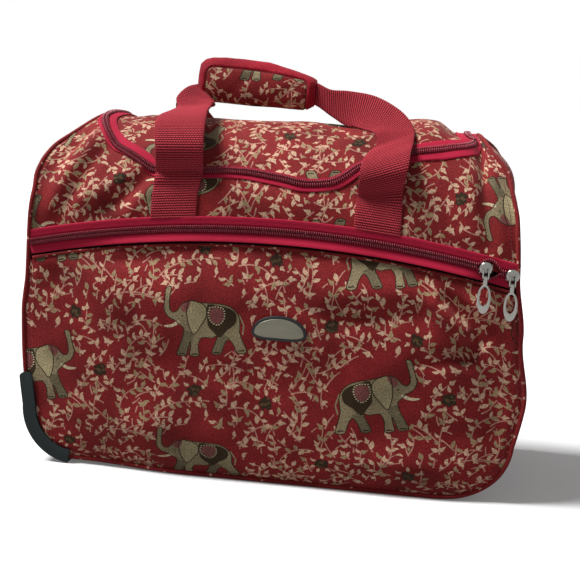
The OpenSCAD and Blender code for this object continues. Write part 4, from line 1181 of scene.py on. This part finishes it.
def make_tape(name, node, place, along, inner, outer, shelf=0.0):
    """A zip tape between two lines beside the zip; its sewn edge stands off by the shelf's height"""
    inner, outer = (np.broadcast_to(np.asarray(value, float), along.shape) for value in (inner, outer))
    section = TAPE_SECTION if outer.mean() > inner.mean() else TAPE_SECTION[::-1]
    widths = columns(*(inner + (outer - inner) * share for share, _ in section))
    lifts = [TAPE_LIFT + TAPE_T * height + shelf * share ** SHELF_POWER for share, height in section]
    points, faces = skin(columns(*(place(along, across, lift) for across, lift in zip(widths.T, lifts))))
    flat = columns(np.repeat(along, len(section)), widths.ravel())
    make_piece(name, points, faces, "zip_tape", node, flat=flat)


# A tooth of a coil: shares along, across and up, and its sides
TOOTH = np.array([
    (-0.5, 0.06, 0), (0.5, 0.06, 0), (0.5, 1, 0), (-0.5, 1, 0), (-0.42, 0.06, 0.7), (0.42, 0.06, 0.7),
    (0.42, 0.94, 0.55), (-0.42, 0.94, 0.55), (-0.2, 0.12, 1), (0.2, 0.12, 1), (0.2, 0.8, 0.95),
    (-0.2, 0.8, 0.95),
])
TOOTH_SIDES = [[0, 1, 5, 4], [1, 2, 6, 5], [2, 3, 7, 6], [3, 0, 4, 7], [4, 5, 9, 8], [5, 6, 10, 9],
               [6, 7, 11, 10], [7, 4, 8, 11], [8, 9, 10, 11], [3, 2, 1, 0]]
TOOTH_SHARE = 0.62
mouth_start, mouth_end = box_mm("pocket_slider_left")[1][0], box_mm("pocket_slider_right")[0][0]
MOUTH_X, MOUTH_HALF_L = (mouth_start + mouth_end) / 2, (mouth_end - mouth_start) / 2 + 6
MOUTH_HALF_W = 7.5


def mouth(along):
    """How far each half of the pocket zip is parted between its two sliders"""
    reach = np.clip((along - MOUTH_X) / MOUTH_HALF_L, -1, 1)
    return MOUTH_HALF_W * (1 - reach ** 2)


def closed(along):
    return np.zeros(len(along))


def make_coil(name, node, place, start, end, sides, parted=closed):
    """Meshed coil halves: rows of rounded teeth that lie between each other"""
    points, faces = [], []
    for half, side in enumerate(sides):
        spots = np.arange(start, end, TOOTH_PITCH) + (TOOTH_PITCH / 2 if side < 0 else 0)
        order = TOOTH_SIDES if side > 0 else [face[::-1] for face in TOOTH_SIDES]
        for spot in range(len(spots)):
            base = (half * len(spots) + spot) * len(TOOTH)
            faces += [[base + v for v in face] for face in order]
        along = (spots[:, None] + TOOTH[None, :, 0] * TOOTH_PITCH * TOOTH_SHARE).ravel()
        across = side * (np.tile(TOOTH[:, 1] * COIL_HALF_W, len(spots)) + parted(along))
        points.append(place(along, across, np.tile(COIL_LIFT + TOOTH[:, 2] * COIL_H, len(spots))))
    make_piece(name, np.concatenate(points), faces, "zip_coil", node)


SHELF_LEFT, SHELF_RIGHT = (-235, 90), (-235, 30)
LID_FRONT, LID_LEFT_X, LID_LEFT_RUN = (85, 30), (120, 30), (10, 30)
# How much narrower the lid's tapes show at the front and on the left arm
OUTER_FRONT_TRIM, OUTER_ARM_TRIM, INNER_FRONT_TRIM = 4, 5, 7
LID_TAPE_STEP = 3.0


def make_zips():
    along = np.linspace(-ZIP_REACH, ZIP_REACH, 180)
    part = COIL_GAP + mouth(along)
    shelf = SHELF * ramp(along, *SHELF_LEFT) * ramp(-along, *SHELF_RIGHT)
    make_tape("pocket_upper_tape", "pocket_zip_upper_tape", zip_place, along, part, TAPE_W)
    make_tape("pocket_lower_tape", "pocket_zip_lower_tape", zip_place, along, -part, -TAPE_W, shelf)
    ends = (1 - ZIP_REACH, ZIP_REACH - 1)
    make_coil("pocket_upper_coil", "pocket_zip_upper_coil", zip_place, *ends, (1,), mouth)
    make_coil("pocket_lower_coil", "pocket_zip_lower_coil", zip_place, *ends, (-1,), mouth)
    along = np.arange(0, LID_LENGTH, LID_TAPE_STEP)
    seam = -lid_flat(along, closed(along))
    front = ramp(seam[:, 1], *LID_FRONT)
    left_arm = ramp(seam[:, 0], *LID_LEFT_X) * ramp(seam[:, 1], *LID_LEFT_RUN)
    outer = TAPE_W - OUTER_FRONT_TRIM * front - OUTER_ARM_TRIM * left_arm
    inner = TAPE_W - INNER_FRONT_TRIM * front * (1 - left_arm)
    make_tape("lid_outer_tape", "lid_zip_outer_tape", lid_place, along, COIL_GAP, outer)
    make_tape("lid_inner_tape", "lid_zip_inner_tape", lid_place, along, -COIL_GAP, -inner)
    make_coil("lid_coil", "lid_zip_coil", lid_place, 1, LID_LENGTH - 1, (1, -1))


# Straps

# Rows of a strap's sewn foot: distance above the zip's tape, height off the cloth
STRAP_FOOT_ROWS = [(-2.0, -0.4), (3.0, -0.2), (9.0, 0.0), (24.0, 0.0)]
# Stations of the front strap's free legs from foot to grip to foot, each its outer and inner edge
LEFT_FREE = [
    (-129, -113, 313, -79, -113, 316), (-128, -124, 330, -78, -124, 333), (-129, -126, 345, -78, -126, 348),
    (-133, -114, 361, -80, -114, 364), (-135, -92, 374, -83, -92, 378), (-128, -66, 382, -86, -68, 386),
    (-125, -46, 388, -87, -48, 391), (-129, -33, 399, -88, -34, 395), (-121, -19, 412, -89, -20, 398),
]
RIGHT_FREE = [
    (40, -9, 420, 42, -10, 391), (62, -14, 419, 61, -22, 380), (92, -22, 414, 80, -41, 373),
    (120, -39, 399, 94, -60, 364), (135, -62, 381, 97, -76, 358), (136, -88, 366, 87, -102, 346),
    (134, -112, 353, 84, -120, 333), (133, -124, 339, 84, -123, 322), (131, -122, 326, 83, -117, 312),
    (129, -113, 313, 83, -113, 304),
]
# How far the back strap's left leg lies further out than the front one's, by station
BACK_SWAY = [0, 0, 4, 10, 18, 20, 20, 14, 6]
STRAP_HALF_W, STRAP_X, STRAP_T, STRAP_LIFT = 24.0, 106.0, 2.0, 1.4
STRAP_SHARES = [0.0, 0.02, 0.12, 0.3, 0.5, 0.7, 0.88, 0.98, 1.0]
ZIP_STEP, ZIP_STEP_FADE = 4.2, (9, 12)
STRAP_FREE_FROM = (ZIP_TOP + 8, 25)
STRAP_SOFT = 1.5


def rest_outside(points):
    """Lifts strap points that would sink into the cloth or a zip under them"""
    x, y, z = points.T
    turn = np.clip(np.arctan2(y, z - SHOULDER), -math.pi / 2, math.pi / 2)
    flat = columns(x, np.where(z > SHOULDER, HALF_D * turn, height_run(z)))
    to_seam = np.linalg.norm(flat[:, None] - lid_line[None, ::2], axis=2).min(axis=1)
    room = (STRAP_LIFT + ZIP_STEP * (1 - ramp(to_seam, *ZIP_STEP_FADE))) * ramp(z, *STRAP_FREE_FROM)
    out = columns(np.zeros(len(turn)), np.sin(turn), np.cos(turn))
    spare = np.sum((points - wrap_place(flat, 0.0)) * out, axis=1) - room
    return points + out * (0.5 * (spare + np.sqrt(spare ** 2 + STRAP_SOFT ** 2)) - spare)[:, None]


def foot_stations(side):
    """Stations of a strap's sewn foot: it comes from under the pocket zip's upper tape"""
    xs = np.array([STRAP_X + STRAP_HALF_W, STRAP_X - STRAP_HALF_W]) * side
    return [wrap_place(columns(xs, height_run(zip_height(xs, TAPE_W + above))), STRAP_LIFT + lift).ravel()
            for above, lift in STRAP_FOOT_ROWS]


grip_middle, grip_half = middle_mm("grip_wrap")
GRIP_X, GRIP_Z = grip_middle[0], grip_middle[2]
GRIP_TILT, GRIP_LEAN = math.radians(2.5), 0.16
GRIP_HALF_L = grip_half[0] / math.cos(GRIP_TILT) - 1.2
GRIP_HALF_H, GRIP_HALF_T, GRIP_APART = 27.0, 13.0, 2.0
# Shares of the grip's half height over and under its middle, by the way along it
GRIP_ALONG = [-67, -62, -54, -40, 10, 49, 62, 67]
GRIP_OVER = [0.6, 0.8, 0.9, 0.95, 0.94, 0.63, 0.5, 0.4]
GRIP_UNDER_ALONG = [-67, -61, -48, 0, 58, 67]
GRIP_UNDER = [0.36, 0.68, 0.96, 0.94, 0.88, 0.66]
# The strap's upper edge inside the grip, over the grip's middle, by the way along it
STRAP_OVER_ALONG = [-64, -40, 0, 40, 64]
STRAP_OVER = [-6, 8, 18, 11, 9]
STRAP_UNDER, STRAP_INSET = -0.8, 3


def grip_point(along, across, up, turn=1):
    """A place in the grip, which leans back a little: along it, away from its middle, and up"""
    c, s = math.cos(GRIP_TILT), math.sin(GRIP_TILT)
    return columns(GRIP_X + along * c + up * s, across + GRIP_LEAN * turn * up, GRIP_Z - along * s + up * c)


def grip_height(along, up):
    """Height in the grip for a share up or down: it is lower towards its right end and round at the left"""
    over = np.interp(along, GRIP_ALONG, GRIP_OVER)
    under = np.interp(along, GRIP_UNDER_ALONG, GRIP_UNDER)
    return GRIP_HALF_H * np.where(up > 0, over, under) * up


def strap_edges(turn):
    """Outer and inner edge of a strap from foot to foot, the back one before it is mirrored"""
    inside = []
    for along in np.linspace(-GRIP_HALF_L + STRAP_INSET, GRIP_HALF_L - STRAP_INSET, 6):
        ups = np.array([np.interp(along, STRAP_OVER_ALONG, STRAP_OVER), grip_height(along, STRAP_UNDER)])
        inside.append(grip_point(np.full(2, along), np.full(2, -GRIP_APART), ups, turn).ravel())
    left, right = np.array(LEFT_FREE, float), np.array(RIGHT_FREE, float)
    if turn < 0:
        left[:, [0, 3]] -= np.array(BACK_SWAY)[:, None]
    return spline([*foot_stations(-1), *left, *inside, *right, *foot_stations(1)[::-1]], 10)


def make_strap(name, node, turn):
    """A ribbed webbing band between its two edges; turn is -1 for the back one"""
    edges = even_steps(strap_edges(turn), RIB_PITCH / 3)
    outer, inner = edges[:, :3], edges[:, 3:]
    length = np.arange(len(edges)) * RIB_PITCH / 3
    rib = RIB_H * -np.cos(length / RIB_PITCH * 2 * math.pi)[:, None]
    mirror = np.array([1, turn, 1])
    rows = np.stack([rest_outside((outer + (inner - outer) * t) * mirror) for t in STRAP_SHARES])
    face = unit(np.cross(np.gradient(rows, axis=0), np.gradient(rows, axis=1))) * turn
    thick = [STRAP_T / 2 * (0.5 if t in (0, 1) else 1) for t in STRAP_SHARES]
    off = [out * (h + rib) for out, h in zip(face, thick)]
    front = [row + gap for row, gap in zip(rows, off)]
    back = [row - gap for row, gap in zip(rows, off)][::-1]
    rings = columns(*front, *back)
    points, faces = skin(rings if turn > 0 else rings[:, ::-1])
    widths = [t * 2 * STRAP_HALF_W for t in STRAP_SHARES + STRAP_SHARES[::-1]]
    make_piece(name, points, faces, "webbing", node, flat=strip_flat(length, widths))


SECTION_POWER = 0.95
section_turns = np.linspace(0, 2 * math.pi, 721)
section = columns(*(np.sign(wave) * np.abs(wave) ** SECTION_POWER
                    for wave in (np.cos(section_turns), np.sin(section_turns))))
section_steps = way_along(section * np.array([GRIP_HALF_T, GRIP_HALF_H]))
GRIP_ROUND = float(section_steps[-1])
GRIP_FOLDS = [((-30, -20), (-5, 10), 7, -1.2), ((20, -24), (42, 0), 7, -1.4), ((-48, 5), (-30, 24), 6, -0.9),
              ((5, 14), (30, 26), 6, -1.0)]
# The red binding round the grip's brocade: its middle line's distances, and the round of its corners
BIND_TOP_FROM, BIND_END_W, BIND_ROUND = 15.0, 9.5, 8.0
BIND_X, BIND_Y = GRIP_HALF_L - BIND_END_W - BIND_ROUND, BIND_TOP_FROM - BIND_ROUND
BIND_STITCH_W = 1.6
BIND_RISE, BIND_RISE_W, BIND_GROOVE, BIND_GROOVE_W = 0.9, 2.0, 0.7, 1.3
# The grip's slimmer ends, its slight waves and its unevenness
GRIP_END_SLIM, GRIP_END_POWER, GRIP_WAVE, GRIP_WAVE_L = 0.6, 14, 0.03, 13
GRIP_RIPPLE, GRIP_PUFF_UP = (9, 0.35), 0.6


def binding_lift(flat):
    """How the binding stands off past the top line and the ends of the brocade field, with a groove there"""
    past_end, past_top = np.abs(flat[:, 0]) - BIND_X, flat[:, 1] - BIND_Y
    edge = np.hypot(np.maximum(past_end, 0), np.maximum(past_top, 0)) - BIND_ROUND
    return BIND_RISE * ease(edge / BIND_RISE_W) - BIND_GROOVE * bell(edge, 0, BIND_GROOVE_W)


def grip_place(flat, lift):
    """Points of the padded grip: the way along it, and round it from the front middle upwards"""
    along, way = flat[:, 0], np.mod(flat[:, 1], GRIP_ROUND)
    out, up = (np.interp(way, section_steps, row) for row in section.T)
    end = np.clip(np.abs(along) / GRIP_HALF_L, 0, 1)
    slim = 1 - GRIP_END_SLIM * end ** GRIP_END_POWER + GRIP_WAVE * np.sin(along / GRIP_WAVE_L)
    puff = lift + crease(flat, GRIP_FOLDS) + ripple(flat, *GRIP_RIPPLE) + binding_lift(flat)
    height = grip_height(along, up) + up * puff * GRIP_PUFF_UP
    return grip_point(along, -out * (GRIP_HALF_T * slim + puff), height)


def make_grip():
    along = np.linspace(-GRIP_HALF_L, GRIP_HALF_L, 40)
    low, high = -GRIP_ROUND / 2, GRIP_ROUND / 2
    rounds = np.linspace(low, high, 40)[1:-1]
    boundary = [(x, low) for x in along] + [(GRIP_HALF_L, y) for y in rounds]
    boundary += [(x, high) for x in along[::-1]] + [(-GRIP_HALF_L, y) for y in rounds[::-1]]
    corner = [(BIND_X + BIND_ROUND * math.cos(a), BIND_Y + BIND_ROUND * math.sin(a))
              for a in np.linspace(0, math.pi / 2, 8)]
    half = [(BIND_X + BIND_ROUND, low)] + corner
    field = half + mirrored(half)
    past = GRIP_HALF_L + 1
    frame_loop = [(past, low - 1), (past, high + 1), (-past, high + 1), (-past, low - 1)] + field[::-1]
    stitches = outline_strips(np.array(field), BIND_STITCH_W)[:-1]
    extra = [("line", strip) for strip in stitches] + [("binding", np.array(frame_loop))]
    grip = sew_panel("grip_cloth", "grip_wrap", boundary, grip_place, (8, 41), spacing=2.6, extra=extra)


# Rigid pieces

# Rounded pieces by material slot: node, body, width of the rounding
ROUNDED = {
    "badge_black": [("badge_base", "bag", 0.9)],
    "pewter": [("badge_plate", "bag", 0.6)],
    "bright_metal": [
        ("pocket_slider_left", "left_slider", 0.35), ("pocket_slider_right", "right_slider", 0.35),
        ("lid_slider", "lid_zip_slider", 0.35), ("pocket_pull_left", "left_pull", 0.6),
        ("pocket_pull_right", "right_pull", 0.6), ("lid_pull", "lid_zip_pull", 0.6)],
    "dark_plastic": [
        ("wheel_base", "bag", 0.8), ("handle_cup", "bag", 0.7), ("hand_bar", "pull_handle", 0.8),
        ("front_foot", "bag", 0.9), ("rear_foot", "bag", 0.9)],
    "button": [("bar_button", "button", 0.6)],
}
# Pieces shown as the frame has them, by material
PLAIN = {
    "board": ["bottom_board"], "dark_plastic": ["tube_bracket"], "steel": ["front_axle", "rear_axle"],
    "hub": ["front_wheel_hub", "rear_wheel_hub"], "tyre": ["front_wheel_tyre", "rear_wheel_tyre"],
    "tube": ["front_outer_tube", "rear_outer_tube", "front_inner_tube", "rear_inner_tube"],
}
FLAT_ANGLE, SHARP_ANGLE = math.radians(1.0), math.radians(28)


def paint(mesh, material):
    mesh.materials.clear()
    mesh.materials.append(materials[material])


def round_edges(node, slot, body, width):
    """A copy of a CAD piece with its sharp edges rounded, in that piece's place"""
    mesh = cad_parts[node].data.copy()
    mesh.name = f"{node}_rounded"
    work = bmesh.new()
    work.from_mesh(mesh)
    bmesh.ops.remove_doubles(work, verts=work.verts, dist=1e-6)
    bmesh.ops.dissolve_limit(work, angle_limit=FLAT_ANGLE, verts=work.verts, edges=work.edges)
    work.to_mesh(mesh)
    work.free()
    paint(mesh, slot)
    mesh.shade_smooth()
    piece = link_new(f"{node}_rounded", mesh)
    bevel = piece.modifiers.new("edges", "BEVEL")
    bevel.width = width * MM
    bevel.segments = 2
    bevel.limit_method = "ANGLE"
    bevel.angle_limit = SHARP_ANGLE
    bevel.harden_normals = True
    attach(piece, body)
    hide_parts(node)


def make_rigid():
    for slot, rows in ROUNDED.items():
        for node, body, width in rows:
            round_edges(node, slot, body, width)
    for material, nodes in PLAIN.items():
        for node in nodes:
            paint(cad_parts[node].data, material)


# Stage

CAMERA_PLACE = (128.6, -1217.1, 319.8)
CAMERA_YAW, CAMERA_PITCH, CAMERA_ROLL = 0.098, 0.105, 0.069
CAMERA_LENS, SENSOR_W = 66.34, 36.0
FLOOR_SEEN, FLOOR_BOUNCE, FLOOR_GLOW = 0.9, 0.28, 0.12
FLOOR_REACH = 30.0
AMBIENT = 0.17
SUN_STRENGTH, SUN_SPREAD = 4.6, 0.4
SUN_FROM = (-0.62, -0.15, 1.0)


def make_camera():
    data = bpy.data.cameras.new("camera")
    data.lens = CAMERA_LENS
    data.sensor_width = SENSOR_W
    camera = link_new("camera", data)
    (cy, sy), (cp, sp), (cr, sr) = (toward(a) for a in (CAMERA_YAW, CAMERA_PITCH, CAMERA_ROLL))
    forward, right = Vector((-sy * cp, cy * cp, -sp)), Vector((cy, sy, 0))
    up = right.cross(forward)
    turn = Matrix((right * cr + up * sr, up * cr - right * sr, -forward)).transposed().to_4x4()
    place = (Vector(CAMERA_PLACE) + Vector((0, MID_Y, 0))) * MM
    camera.matrix_world = Matrix.Translation(place) @ turn
    bpy.context.scene.camera = camera


def seen_directly(owner):
    """1 for rays from the camera or a mirror-like surface, 0 for the rest"""
    rays = add_node(owner, "ShaderNodeLightPath").node.outputs
    total = rays["Is Camera Ray"]
    for name in ("Is Glossy Ray", "Is Transmission Ray"):
        total = add_node(owner, "ShaderNodeMath", {0: total, 1: rays[name]}, operation="MAXIMUM")
    return total


def make_floor():
    mesh = bpy.data.meshes.new("floor")
    corners = [(-1, -1), (1, -1), (1, 1), (-1, 1)]
    mesh.from_pydata([(x * FLOOR_REACH, y * FLOOR_REACH, 0) for x, y in corners], [], [[0, 1, 2, 3]])
    paper = new_material("floor_paper", (FLOOR_SEEN,) * 3, 0.95, specular=0.0)
    seen = seen_directly(paper)
    finish_material(paper, map_value(paper, seen, FLOOR_BOUNCE, FLOOR_SEEN))
    inputs = shader_inputs(paper)
    inputs["Emission Color"].default_value = (1, 1, 1, 1)
    paper.node_tree.links.new(map_value(paper, seen, 0.0, FLOOR_GLOW), inputs["Emission Strength"])
    mesh.materials.append(paper)
    floor = link_new("floor", mesh)


def make_stage():
    make_floor()
    data = bpy.data.lights.new("key", "SUN")
    data.energy = SUN_STRENGTH
    data.angle = SUN_SPREAD
    link_new("key", data).rotation_euler = Vector(SUN_FROM).to_track_quat("Z", "Y").to_euler()
    world = bpy.data.worlds.new("studio")
    bpy.context.scene.world = world
    world.use_nodes = True
    background = world.node_tree.nodes["Background"].inputs
    background["Color"].default_value = (1, 1, 1, 1)
    level = map_value(world, seen_directly(world), AMBIENT, 1.0)
    world.node_tree.links.new(level, background["Strength"])
    bpy.context.scene.view_settings.view_transform = "Standard"


make_camera()
make_panels()
make_ends()
make_lining()
make_edges()
make_stitches()
make_zips()
make_strap("front_webbing", "front_strap", 1)
make_strap("back_webbing", "back_strap", -1)
make_grip()
make_rigid()
make_stage()
